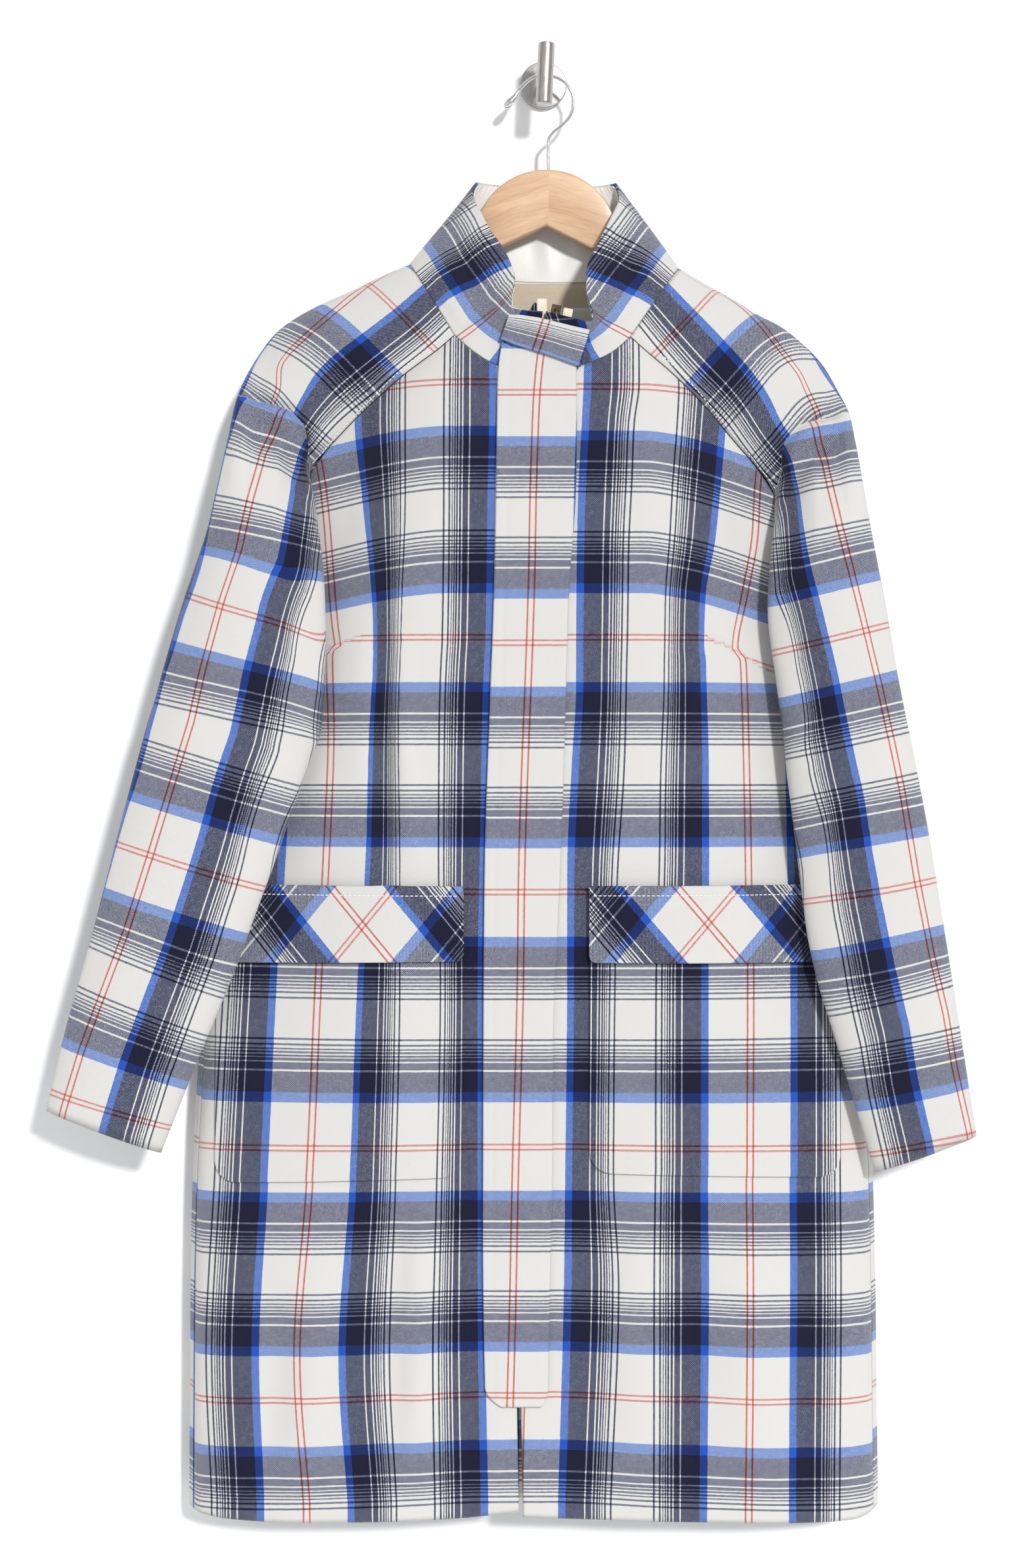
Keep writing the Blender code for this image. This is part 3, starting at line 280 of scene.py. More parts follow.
def alongTable(table, key, index, at):
    # A cubic through the column's values whose slopes are limited, so that it never overshoots.
    x = tableColumn(table, key)
    y = tableColumn(table, index)
    if x[0] > x[-1]:
        x = x[::-1]
        y = y[::-1]
    step = np.diff(x)
    rise = np.diff(y) / step
    slope = np.zeros(len(x))
    same = rise[1:] * rise[:-1] > 0
    mean = (rise[1:] * step[:-1] + rise[:-1] * step[1:]) / (step[1:] + step[:-1])
    least = 2.0 * np.minimum(np.abs(rise[1:]), np.abs(rise[:-1]))
    slope[1:-1] = np.where(same, np.sign(mean) * np.minimum(np.abs(mean), least), 0.0)
    slope[0] = rise[0]
    slope[-1] = rise[-1]
    at = np.clip(np.asarray(at, dtype=float), x[0], x[-1])
    i = np.clip(np.searchsorted(x, at) - 1, 0, len(x) - 2)
    t = (at - x[i]) / step[i]
    a = y[i] * (2 * t**3 - 3 * t**2 + 1) + y[i + 1] * (3 * t**2 - 2 * t**3)
    b = slope[i] * (t**3 - 2 * t**2 + t) + slope[i + 1] * (t**3 - t**2)
    return a + b * step[i]


def unit(v):
    # Each vector divided by its own length.
    return v / np.maximum(np.linalg.norm(v, axis=-1, keepdims=True), 1e-12)


def softStep(low, high, at):
    # From 0 at low to 1 at high, as three squares less two cubes of the share.
    t = np.clip((at - low) / (high - low), 0, 1)
    return t * t * (3 - 2 * t)


def creaseRelief(a, b, creases):
    # Each crease is a line from one place to the other, bowed sideways by a sine. Its relief is
    # a bell curve of the distance across it, faded to nothing at both ends.
    relief = np.zeros_like(a)
    for a0, b0, a1, b1, width, rise, bend in creases:
        length = math.hypot(a1 - a0, b1 - b0)
        ua = (a1 - a0) / length
        ub = (b1 - b0) / length
        share = ((a - a0) * ua + (b - b0) * ub) / length
        across = (a - a0) * ub - (b - b0) * ua - bend * np.sin(math.pi * np.clip(share, 0, 1))
        fade = np.sin(math.pi * np.clip(share, 0, 1)) ** 0.7
        relief += rise * fade * np.exp(-(across / width) ** 2)
    return relief


def frontDepth(x, z):
    # The solid's front: the body's depth at each height times its profile from the middle to the
    # side, and each fold as a bell curve across it that grows towards the hem.
    x = np.asarray(x, dtype=float)
    z = np.asarray(z, dtype=float)
    left = alongTable(bodyTable, 0, 1, z)
    right = alongTable(bodyTable, 0, 2, z)
    middle = (left + right) / 2
    across = np.clip(np.abs(x - middle) / ((right - left) / 2), 0, 1)
    full = alongTable(bodyTable, 0, 5, z)
    lift = alongTable(profileTable, 0, 1, across) * (1 - full) + alongTable(profileTable, 0, 2, across) * full
    y = -coat["midY"] - alongTable(bodyTable, 0, 3, z) * lift
    for topX, hemX, width, rise, start in foldTable:
        share = np.clip((start - z) / (start - coat["backHemZ"]), 0, 1)
        place = (x - (topX + (hemX - topX) * share)) / width
        y = y - rise * share**0.7 * np.exp(-place**2)
    return y


def frontSurface(x, z):
    # The solid's front with the soft creases laid on it.
    x = np.asarray(x, dtype=float)
    z = np.asarray(z, dtype=float)
    return frontDepth(x, z) - creaseRelief(x, z, frontCreases)


def overFront(x, z, out):
    # A point over the front at a distance out along the front's own normal.
    d = 0.0015
    slopeX = (frontSurface(x + d, z) - frontSurface(x - d, z)) / (2 * d)
    slopeZ = (frontSurface(x, z + d) - frontSurface(x, z - d)) / (2 * d)
    n = unit(np.stack([slopeX, -np.ones_like(slopeX), slopeZ], -1))
    return np.stack([x, frontSurface(x, z), z], -1) + n * np.asarray(out)[..., None]


def evenSteps(points, count):
    # Points at equal steps of length along a line.
    points = np.asarray(points, dtype=float)
    length = np.r_[0, np.cumsum(np.linalg.norm(np.diff(points, axis=0), axis=1))]
    at = np.linspace(0, length[-1], count)
    return np.stack([np.interp(at, length, points[:, k]) for k in range(points.shape[1])], -1)


def closeEnds(count, first=0.0012, second=0.0040, span=0.25):
    # Shares from 0 to 1 with a few fine steps at both ends, for the turned edges of a panel.
    inner = np.linspace(second / span, 1 - second / span, count - 4)
    return np.r_[0, first / span, inner, 1 - first / span, 1]


def gridNormals(points, flip):
    # The cross product of the grid's two directions.
    down = np.gradient(points, axis=0)
    side = np.gradient(points, axis=1)
    return unit(np.cross(down, side)) * flip


def pulledIn(points, gap):
    # The border moved by gap towards the inside of the grid.
    move = np.zeros_like(points)
    move[0] += unit(points[1] - points[0]) * gap
    move[-1] += unit(points[-2] - points[-1]) * gap
    move[:, 0] += unit(points[:, 1] - points[:, 0]) * gap
    move[:, -1] += unit(points[:, -2] - points[:, -1]) * gap
    return points + move


def edgeDistance(points):
    # How far each point is from the nearest of the grid's four borders, along the grid.
    down = np.linalg.norm(np.diff(points, axis=0), axis=2)
    side = np.linalg.norm(np.diff(points, axis=1), axis=2)
    fromTop = np.vstack([np.zeros((1, points.shape[1])), np.cumsum(down, axis=0)])
    fromLeft = np.hstack([np.zeros((points.shape[0], 1)), np.cumsum(side, axis=1)])
    vertical = np.minimum(fromTop, fromTop[-1:] - fromTop)
    level = np.minimum(fromLeft, fromLeft[:, -1:] - fromLeft)
    return np.minimum(vertical, level)


def sheetObject(name, points, uv, thickness, flip, mat, roll=0.0003):
    # A closed cloth wall: the outer grid, the same grid moved in by the thickness, and a rounded
    # rim between them. Near the border the outer side sinks a little, as a pressed seam does.
    rows, cols = points.shape[:2]
    points = pulledIn(points, coat["seamGap"])
    normal = gridNormals(points, flip)
    sink = roll * np.exp(-((edgeDistance(points) / coat["pressed"]) ** 2))
    outer = points - normal * sink[..., None]
    inner = points - normal * thickness
    index = np.arange(rows * cols).reshape(rows, cols)
    quads = np.stack([index[:-1, :-1], index[:-1, 1:], index[1:, 1:], index[1:, :-1]], -1).reshape(-1, 4)
    if flip > 0:
        quads = quads[:, ::-1]
    count = rows * cols
    border = np.r_[index[0, :-1], index[:-1, -1], index[-1, :0:-1], index[:0:-1, 0]]
    upperEdge = outer.reshape(-1, 3)[border]
    lowerEdge = inner.reshape(-1, 3)[border]
    along = np.roll(upperEdge, 1, axis=0) - np.roll(upperEdge, -1, axis=0)
    outward = unit(np.cross(along, normal.reshape(-1, 3)[border])) * -flip
    middle = (upperEdge + lowerEdge) / 2 + outward * thickness * coat["rim"]
    rim = 2 * count + np.arange(len(border))
    following = np.roll(np.arange(len(border)), -1)
    upper = np.stack([border, rim, rim[following], border[following]], -1)
    lower = np.stack([rim, count + border, count + border[following], rim[following]], -1)
    rimQuads = np.vstack([upper, lower])
    if flip > 0:
        rimQuads = rimQuads[:, ::-1]
    faces = np.vstack([quads, quads[:, ::-1] + count, rimQuads])
    verts = np.vstack([outer.reshape(-1, 3), inner.reshape(-1, 3), middle])
    flatUv = uv.reshape(-1, 2)
    allUv = np.vstack([flatUv, flatUv, flatUv[border]])
    return meshObject(name, verts, faces, mat, allUv)


def placed(name, mesh, mat):
    # The mesh as an object at the origin, with its material.
    mesh.materials.append(mat)
    obj = bpy.data.objects.new(name, mesh)
    bpy.context.scene.collection.objects.link(obj)
    return obj


def meshObject(name, verts, faces, mat, uv):
    # A smooth mesh whose corners take the cloth coordinates of their points.
    mesh = bpy.data.meshes.new(name)
    mesh.from_pydata(verts.tolist(), [], faces.tolist())
    mesh.polygons.foreach_set("use_smooth", np.ones(len(mesh.polygons), dtype=bool))
    layer = mesh.uv_layers.new(name="cloth")
    corner = np.zeros(len(mesh.loops), dtype=np.int32)
    mesh.loops.foreach_get("vertex_index", corner)
    layer.data.foreach_set("uv", uv[corner].astype(np.float32).ravel())
    mesh.update()
    return placed(name, mesh, mat)


def clothPiece(
    name, points, uv, thickness, flip, finishName, node,
    roll=0.0003,
):
    # One panel: its wall on the root, with the solid it stands for hidden. Its area is half
    # the cross product of each cell's diagonals.
    obj = sheetObject(name, points, uv, thickness, flip, finish[finishName], roll)
    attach(obj, "root")
    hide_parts(node)
    a = points[1:, 1:] - points[:-1, :-1]
    b = points[:-1, 1:] - points[1:, :-1]
    measured = float(np.linalg.norm(np.cross(a, b), axis=-1).sum() / 2)
    print(f"{name}: {len(obj.data.polygons) * 2} triangles, {measured:.4f} square metres")


# Materials.
def addNode(tree, kind, where, **values):
    # A node at a place in the editor, with its settings.
    node = tree.nodes.new(kind)
    node.location = where
    for key, value in values.items():
        setattr(node, key, value)
    return node


def fillSockets(tree, sockets, values):
    # A number or tuple is set on its socket, and an output is linked to it.
    for socket, value in zip(sockets, values):
        if isinstance(value, (int, float, tuple)):
            socket.default_value = value
        elif value is not None:
            tree.links.new(value, socket)


def mathNode(tree, operation, where, first, second=None, third=None, clamp=False):
    # One step of arithmetic on values.
    node = addNode(tree, "ShaderNodeMath", where, operation=operation, use_clamp=clamp)
    fillSockets(tree, node.inputs, (first, second, third))
    return node.outputs[0]


def vectorNode(tree, operation, where, first, second=None, third=None, scale=None):
    # One step of arithmetic on vectors or colours.
    node = addNode(tree, "ShaderNodeVectorMath", where, operation=operation)
    fillSockets(tree, node.inputs, (first, second, third, scale))
    return node.outputs[0]


def noiseNode(tree, where, place, scale, detail=2.0, distortion=0.0):
    # Noise over a place, of a size and detail.
    noise = addNode(tree, "ShaderNodeTexNoise", where)
    noise.inputs["Scale"].default_value = scale
    noise.inputs["Detail"].default_value = detail
    noise.inputs["Distortion"].default_value = distortion
    tree.links.new(place, noise.inputs["Vector"])
    return noise


def tintBetween(tree, where, factor, dark, light, low=0.0, high=1.0):
    # The base colour runs from dark to light between two values of the factor.
    tint = addNode(tree, "ShaderNodeValToRGB", where)
    first, last = tint.color_ramp.elements
    first.position = low
    first.color = (*dark, 1)
    last.position = high
    last.color = (*light, 1)
    tree.links.new(factor, tint.inputs["Fac"])
    tree.links.new(tint.outputs["Color"], tree.nodes["Principled BSDF"].inputs["Base Color"])


def addBump(tree, where, height, strength, distance):
    # The height tilts the normal.
    bump = addNode(tree, "ShaderNodeBump", where)
    bump.inputs["Strength"].default_value = strength
    bump.inputs["Distance"].default_value = distance
    tree.links.new(height, bump.inputs["Height"])
    tree.links.new(bump.outputs[0], tree.nodes["Principled BSDF"].inputs["Normal"])


def newGroup(name, inputs, outputs):
    # A node group with its named sockets, and its input and output nodes.
    group = bpy.data.node_groups.new(name, "ShaderNodeTree")
    for label, kind, value in inputs:
        socket = group.interface.new_socket(name=label, in_out="INPUT", socket_type=kind)
        if value is not None:
            socket.default_value = value
    for label, kind in outputs:
        group.interface.new_socket(name=label, in_out="OUTPUT", socket_type=kind)
    inside = addNode(group, "NodeGroupInput", (-1400, 0))
    return group, inside, addNode(group, "NodeGroupOutput", (1200, 0))


yarn = {
    # yarn colours as they look, 0 to 1
    "cream": (0.917, 0.909, 0.892),
    "navy": (0.120, 0.127, 0.215),
    "blue": (0.168, 0.350, 0.755),
    "red": (0.830, 0.325, 0.230),
}
# Half of the repeat, counted from the middle of the red pair, in millimetres: where each yarn starts.
warpChart = [
    # from, yarn
    (0.0, "cream"), (1.5, "red"), (3.2, "cream"), (33.4, "blue"), (39.7, "navy"), (55.0, "cream"),
    (56.3, "navy"), (61.0, "cream"), (62.0, "navy"), (64.0, "cream"), (65.0, "navy"), (66.3, "cream"),
    (67.2, "navy"), (68.2, "cream"), (69.3, "navy"), (70.1, "cream"), (71.6, "navy"), (73.0, "cream"),
    (76.2, "navy"), (77.8, "cream"),
]
weftChart = [
    # from, yarn
    (0.0, "cream"), (1.1, "red"), (2.8, "cream"), (36.6, "blue"), (44.8, "navy"), (61.8, "cream"),
    (63.2, "navy"), (69.0, "cream"), (70.2, "navy"), (72.6, "cream"), (73.7, "navy"), (75.4, "cream"),
    (76.6, "navy"), (78.0, "cream"), (79.4, "navy"), (80.4, "cream"), (82.6, "navy"), (84.2, "cream"),
    (87.2, "navy"), (89.0, "cream"),
]
plaid = {
    "halfWarp": 0.0937,     # half repeats, metres
    "halfWeft": 0.1050,
    "twillPitch": 0.00155,  # along the warp and along the weft
    "twillDepth": 0.42,     # how far the twill swings between warp and weft
    "wobble": 0.00055,      # unevenness of the stripes' edges
    "wobbleScale": 1500.0,
    "wornScale": 260.0,     # patches where the twill shows more or less
    "fuzzScale": 1400.0,    # the brushed hairs
    "weftShare": 0.40,      # how much of the face is weft
    "ribShade": (0.160, 0.145, 0.100),  # painted shade in the twill's ribs: how much darker the colour is made where unlike yarns lie side by side
    "reflects": 0.70,       # share of light that the wool sends back
}


def chartRamp(tree, chart, half, where, factor):
    # The chart as hard steps of colour over half a repeat.
    ramp = addNode(tree, "ShaderNodeValToRGB", where)
    ramp.color_ramp.interpolation = "CONSTANT"
    stops = ramp.color_ramp.elements
    stops[0].position = 0.0
    stops[0].color = (*yarn[chart[0][1]], 1)
    stops.remove(stops[1])
    for start, name in chart[1:]:
        stop = stops.new(start / (half * 1000))
        stop.color = (*yarn[name], 1)
    tree.links.new(factor, ramp.inputs["Fac"])
    return ramp.outputs["Color"]


def plaidGroup():
    # Warp and weft colours come from the two charts, read back and forth over the cloth's own
    # coordinates, and the twill's diagonal decides how much of each shows.
    group, inside, outside = newGroup(
        "brushed plaid twill",
        [
            ("Cloth", "NodeSocketVector", None),
            ("Twill", "NodeSocketFloat", plaid["twillDepth"]),
            ("Nap", "NodeSocketFloat", 0.05),
        ],
        [("Color", "NodeSocketColor"), ("Height", "NodeSocketFloat"), ("Roughness", "NodeSocketFloat")],
    )
    link = group.links.new
    cloth = inside.outputs["Cloth"]
    wobble = noiseNode(group, (-1200, -300), cloth, plaid["wobbleScale"], 1.0)
    centred = vectorNode(group, "SUBTRACT", (-1020, -300), wobble.outputs["Color"], (0.5, 0.5, 0.5))
    scaled = vectorNode(group, "SCALE", (-860, -300), centred, scale=plaid["wobble"] * 2)
    moved = vectorNode(group, "ADD", (-700, -200), cloth, scaled)
    parts = addNode(group, "ShaderNodeSeparateXYZ", (-540, -200))
    link(moved, parts.inputs[0])
    colours = []
    for k, (chart, half) in enumerate(((warpChart, plaid["halfWarp"]), (weftChart, plaid["halfWeft"]))):
        height = 100 - 200 * k
        place = mathNode(group, "PINGPONG", (-380, height), parts.outputs[k], half)
        place = mathNode(group, "DIVIDE", (-220, height), place, half)
        colours.append(chartRamp(group, chart, half, (-60, height + 100), place))
    diagonal = mathNode(group, "ADD", (-380, -420), parts.outputs[0], parts.outputs[1])
    turns = mathNode(group, "MULTIPLY", (-220, -420), diagonal, 2 * math.pi / plaid["twillPitch"])
    wave = mathNode(group, "SINE", (-60, -420), turns)
    patch = noiseNode(group, (-540, -620), cloth, plaid["wornScale"])
    worn = mathNode(group, "MULTIPLY_ADD", (-380, -620), patch.outputs["Fac"], 1.6, -0.1, clamp=True)
    swing = mathNode(group, "MULTIPLY", (100, -420), wave, worn)
    swing = mathNode(group, "MULTIPLY", (260, -420), swing, inside.outputs["Twill"])
    share = mathNode(group, "ADD", (420, -420), swing, plaid["weftShare"], clamp=True)
    mixed = addNode(group, "ShaderNodeMix", (260, 60), data_type="RGBA")
    link(share, mixed.inputs["Factor"])
    link(colours[0], mixed.inputs["A"])
    link(colours[1], mixed.inputs["B"])
    fuzz = noiseNode(group, (-540, -860), cloth, plaid["fuzzScale"], 3.0)
    lighten = mathNode(group, "SUBTRACT", (-220, -860), fuzz.outputs["Fac"], 0.5)
    lighten = mathNode(group, "MULTIPLY_ADD", (-60, -860), lighten, inside.outputs["Nap"], 1.0)
    # Painted shade: where the warp and weft colours differ, the mix is darkened in proportion, standing in
    # for the shade in the twill's ribs.
    unlike = vectorNode(group, "SUBTRACT", (100, 260), colours[0], colours[1])
    unlike = vectorNode(group, "ABSOLUTE", (260, 260), unlike)
    darker = tuple(-value for value in plaid["ribShade"])
    ribShadedMix = vectorNode(group, "MULTIPLY_ADD", (420, 260), unlike, darker, mixed.outputs["Result"])
    napped = vectorNode(group, "SCALE", (520, 60), ribShadedMix, scale=lighten)
    seen = addNode(group, "ShaderNodeGamma", (620, 60))
    seen.inputs["Gamma"].default_value = 2.2
    link(napped, seen.inputs["Color"])
    dimmed = vectorNode(group, "SCALE", (800, 60), seen.outputs[0], scale=plaid["reflects"])
    link(dimmed, outside.inputs["Color"])
    ribs = mathNode(group, "MULTIPLY", (260, -620), wave, 0.25)
    height = mathNode(group, "MULTIPLY_ADD", (420, -700), fuzz.outputs["Fac"], 0.9, ribs)
    link(height, outside.inputs["Height"])
    rough = mathNode(group, "MULTIPLY_ADD", (420, -860), patch.outputs["Fac"], 0.12, 0.80)
    link(rough, outside.inputs["Roughness"])
    return group


def newMaterial(name):
    # A material with its tree and shader.
    mat = bpy.data.materials.new(name)
    mat.use_nodes = True
    shader = mat.node_tree.nodes["Principled BSDF"]
    shader.location = (600, 0)
    mat.node_tree.nodes["Material Output"].location = (900, 0)
    return mat, mat.node_tree, shader


def plaidMaterial(group):
    # The plaid over the panel's own cloth coordinates, matt with a soft sheen.
    mat, tree, shader = newMaterial("brushed plaid wool")
    uv = addNode(tree, "ShaderNodeUVMap", (-400, 0), uv_map="cloth")
    weave = addNode(tree, "ShaderNodeGroup", (-100, 0), node_tree=group)
    tree.links.new(uv.outputs[0], weave.inputs["Cloth"])
    tree.links.new(weave.outputs["Color"], shader.inputs["Base Color"])
    tree.links.new(weave.outputs["Roughness"], shader.inputs["Roughness"])
    addBump(tree, (300, -300), weave.outputs["Height"], 0.35, 0.0004)
    shader.inputs["Specular IOR Level"].default_value = 0.15
    shader.inputs["Sheen Weight"].default_value = 0.22
    shader.inputs["Sheen Roughness"].default_value = 0.45
    return mat


def satinMaterial():
    # Noise drawn out along the height gives the satin its fine upright threads.
    mat, tree, shader = newMaterial("white satin")
    place = addNode(tree, "ShaderNodeTexCoord", (-700, 0))
    stretch = addNode(tree, "ShaderNodeMapping", (-520, 0))
    stretch.inputs["Scale"].default_value = (1, 1, 0.12)
    tree.links.new(place.outputs["Object"], stretch.inputs["Vector"])
    thread = noiseNode(tree, (-340, 0), stretch.outputs[0], 1500)
    tintBetween(tree, (-120, 100), thread.outputs["Fac"], (0.74, 0.73, 0.70), (0.85, 0.84, 0.81))
    rough = mathNode(tree, "MULTIPLY_ADD", (-120, -150), thread.outputs["Fac"], 0.2, 0.34)
    tree.links.new(rough, shader.inputs["Roughness"])
    addBump(tree, (200, -300), thread.outputs["Fac"], 0.12, 0.0002)
    shader.inputs["Specular IOR Level"].default_value = 0.5
    shader.inputs["Sheen Weight"].default_value = 0.15
    return mat


def tapeMaterial(name, dark, light, ribs, slant):
    # Woven tape: fine ribs across it, slightly uneven in tone.
    mat, tree, shader = newMaterial(name)
    place = addNode(tree, "ShaderNodeTexCoord", (-900, 0))
    parts = addNode(tree, "ShaderNodeSeparateXYZ", (-720, 0))
    tree.links.new(place.outputs["Object"], parts.inputs[0])
    level = mathNode(tree, "MULTIPLY_ADD", (-560, 0), parts.outputs[0], slant, parts.outputs[2])
    turns = mathNode(tree, "MULTIPLY", (-400, 0), level, 2 * math.pi / ribs)
    wave = mathNode(tree, "SINE", (-260, 0), turns)
    cloud = noiseNode(tree, (-560, -260), place.outputs["Object"], 220)
    share = mathNode(tree, "MULTIPLY_ADD", (-100, 0), wave, 0.22, cloud.outputs["Fac"], clamp=True)
    tintBetween(tree, (60, 100), share, dark, light)
    addBump(tree, (300, -300), wave, 0.3, 0.0002)
    shader.inputs["Roughness"].default_value = 0.6
    shader.inputs["Sheen Weight"].default_value = 0.2
    return mat


def streakMask():
    # Fine streaks for metals and mouldings: noise drawn out along one way.
    group, inside, outside = newGroup(
        "fine streaks",
        [
            ("Place", "NodeSocketVector", None),
            ("Stretch", "NodeSocketVector", (1.0, 1.0, 1.0)),
            ("Scale", "NodeSocketFloat", 800.0),
        ],
        [("Mask", "NodeSocketFloat")],
    )
    drawn = vectorNode(group, "MULTIPLY", (-900, 0), inside.outputs["Place"], inside.outputs["Stretch"])
    noise = noiseNode(group, (-700, 0), drawn, 1.0, 3.0)
    group.links.new(inside.outputs["Scale"], noise.inputs["Scale"])
    group.links.new(noise.outputs["Fac"], outside.inputs["Mask"])
    return group


def streakMaterial(name, look):
    # A hard material: the streaks move its tone and roughness, and its height where it is brushed.
    mat, tree, shader = newMaterial(name)
    place = addNode(tree, "ShaderNodeTexCoord", (-600, 0))
    streaks = addNode(tree, "ShaderNodeGroup", (-380, 0), node_tree=streakGroup)
    streaks.inputs["Stretch"].default_value = look["stretch"]
    streaks.inputs["Scale"].default_value = look["scale"]
    tree.links.new(place.outputs["Object"], streaks.inputs["Place"])
    mask = streaks.outputs["Mask"]
    tintBetween(tree, (-100, 100), mask, look["dark"], look["light"], 0.3, 0.7)
    level = mathNode(tree, "MULTIPLY_ADD", (-100, -200), mask, look["rough"] * 0.6, look["rough"] * 0.7)
    tree.links.new(level, shader.inputs["Roughness"])
    shader.inputs["Metallic"].default_value = look["metal"]
    if "brushed" in look:
        addBump(tree, (300, -300), mask, 0.4, look["brushed"])
    return mat


def woodMaterial():
    # Growth rings are the distance from a far, tilted axis, so they run as long lines; each arm
    # of the hanger has its own tilt, which meets at the joint in the middle.
    mat, tree, shader = newMaterial("light hanger wood")
    place = addNode(tree, "ShaderNodeTexCoord", (-1300, 0))
    parts = addNode(tree, "ShaderNodeSeparateXYZ", (-1120, 0))
    tree.links.new(place.outputs["Object"], parts.inputs[0])
    arm = mathNode(tree, "GREATER_THAN", (-960, 200), parts.outputs[0], 0.0044)
    tilt = mathNode(tree, "MULTIPLY_ADD", (-800, 200), arm, -0.62, 0.34)
    level = mathNode(tree, "MULTIPLY", (-640, 200), tilt, parts.outputs[0])
    level = mathNode(tree, "SUBTRACT", (-480, 200), parts.outputs[2], level)
    shifted = mathNode(tree, "MULTIPLY_ADD", (-320, 200), arm, 0.37, level)
    along = addNode(tree, "ShaderNodeCombineXYZ", (-160, 200))
    run = mathNode(tree, "MULTIPLY", (-480, 0), parts.outputs[0], 0.10)
    tree.links.new(run, along.inputs[0])
    tree.links.new(parts.outputs[1], along.inputs[1])
    tree.links.new(shifted, along.inputs[2])
    broad = noiseNode(tree, (40, 300), along.outputs[0], 70, 4.0, 0.4)
    fine = noiseNode(tree, (40, 0), along.outputs[0], 900, 3.0)
    rings = mathNode(tree, "MULTIPLY", (220, 350), broad.outputs["Fac"], 0.75)
    mixed = mathNode(tree, "MULTIPLY_ADD", (220, 200), fine.outputs["Fac"], 0.35, rings)
    tintBetween(tree, (400, 200), mixed, (0.50, 0.285, 0.15), (0.66, 0.44, 0.27), 0.40, 0.66)
    rough = mathNode(tree, "MULTIPLY_ADD", (400, -100), fine.outputs["Fac"], 0.15, 0.38)
    tree.links.new(rough, shader.inputs["Roughness"])
    addBump(tree, (400, -300), fine.outputs["Fac"], 0.15, 0.0002)
    shader.inputs["Coat Weight"].default_value = 0.25
    shader.inputs["Coat Roughness"].default_value = 0.25
    return mat


streakGroup = streakMask()
hardLooks = {
    "zipPlastic": {
        "dark": (0.66, 0.58, 0.46), "light": (0.76, 0.69, 0.57), "rough": 0.42, "metal": 0.0,
        "stretch": (1, 1, 1), "scale": 600,
    },
    "zipMetal": {
        "dark": (0.030, 0.024, 0.018), "light": (0.13, 0.10, 0.06), "rough": 0.30, "metal": 1.0,
        "stretch": (1, 1, 1), "scale": 500,
    },
    "chrome": {
        "dark": (0.72, 0.72, 0.74), "light": (0.86, 0.86, 0.88), "rough": 0.10, "metal": 1.0,
        "stretch": (1, 1, 1), "scale": 400,
    },
    "steel": {
        "dark": (0.34, 0.32, 0.31), "light": (0.52, 0.50, 0.48), "rough": 0.34, "metal": 1.0,
        "stretch": (1, 1, 0.06), "scale": 1800, "brushed": 0.00004,
    },
}
finish = {
    "plaid": plaidMaterial(plaidGroup()),
    "satin": satinMaterial(),
    "label": tapeMaterial("beige label tape", (0.54, 0.44, 0.32), (0.63, 0.53, 0.40), 0.0011, 0.0),
    "whiteLabel": tapeMaterial("white label tape", (0.66, 0.65, 0.63), (0.75, 0.74, 0.72), 0.0009, 0.3),
    "thread": tapeMaterial("cream thread", (0.80, 0.79, 0.76), (0.90, 0.89, 0.86), 0.0006, 1.0),
    "zipPlastic": streakMaterial("cream moulding", hardLooks["zipPlastic"]),
    "zipMetal": streakMaterial("dark brass", hardLooks["zipMetal"]),
    "wood": woodMaterial(),
    "chrome": streakMaterial("wire chrome", hardLooks["chrome"]),
    "steel": streakMaterial("brushed steel", hardLooks["steel"]),
}
print("materials ready")

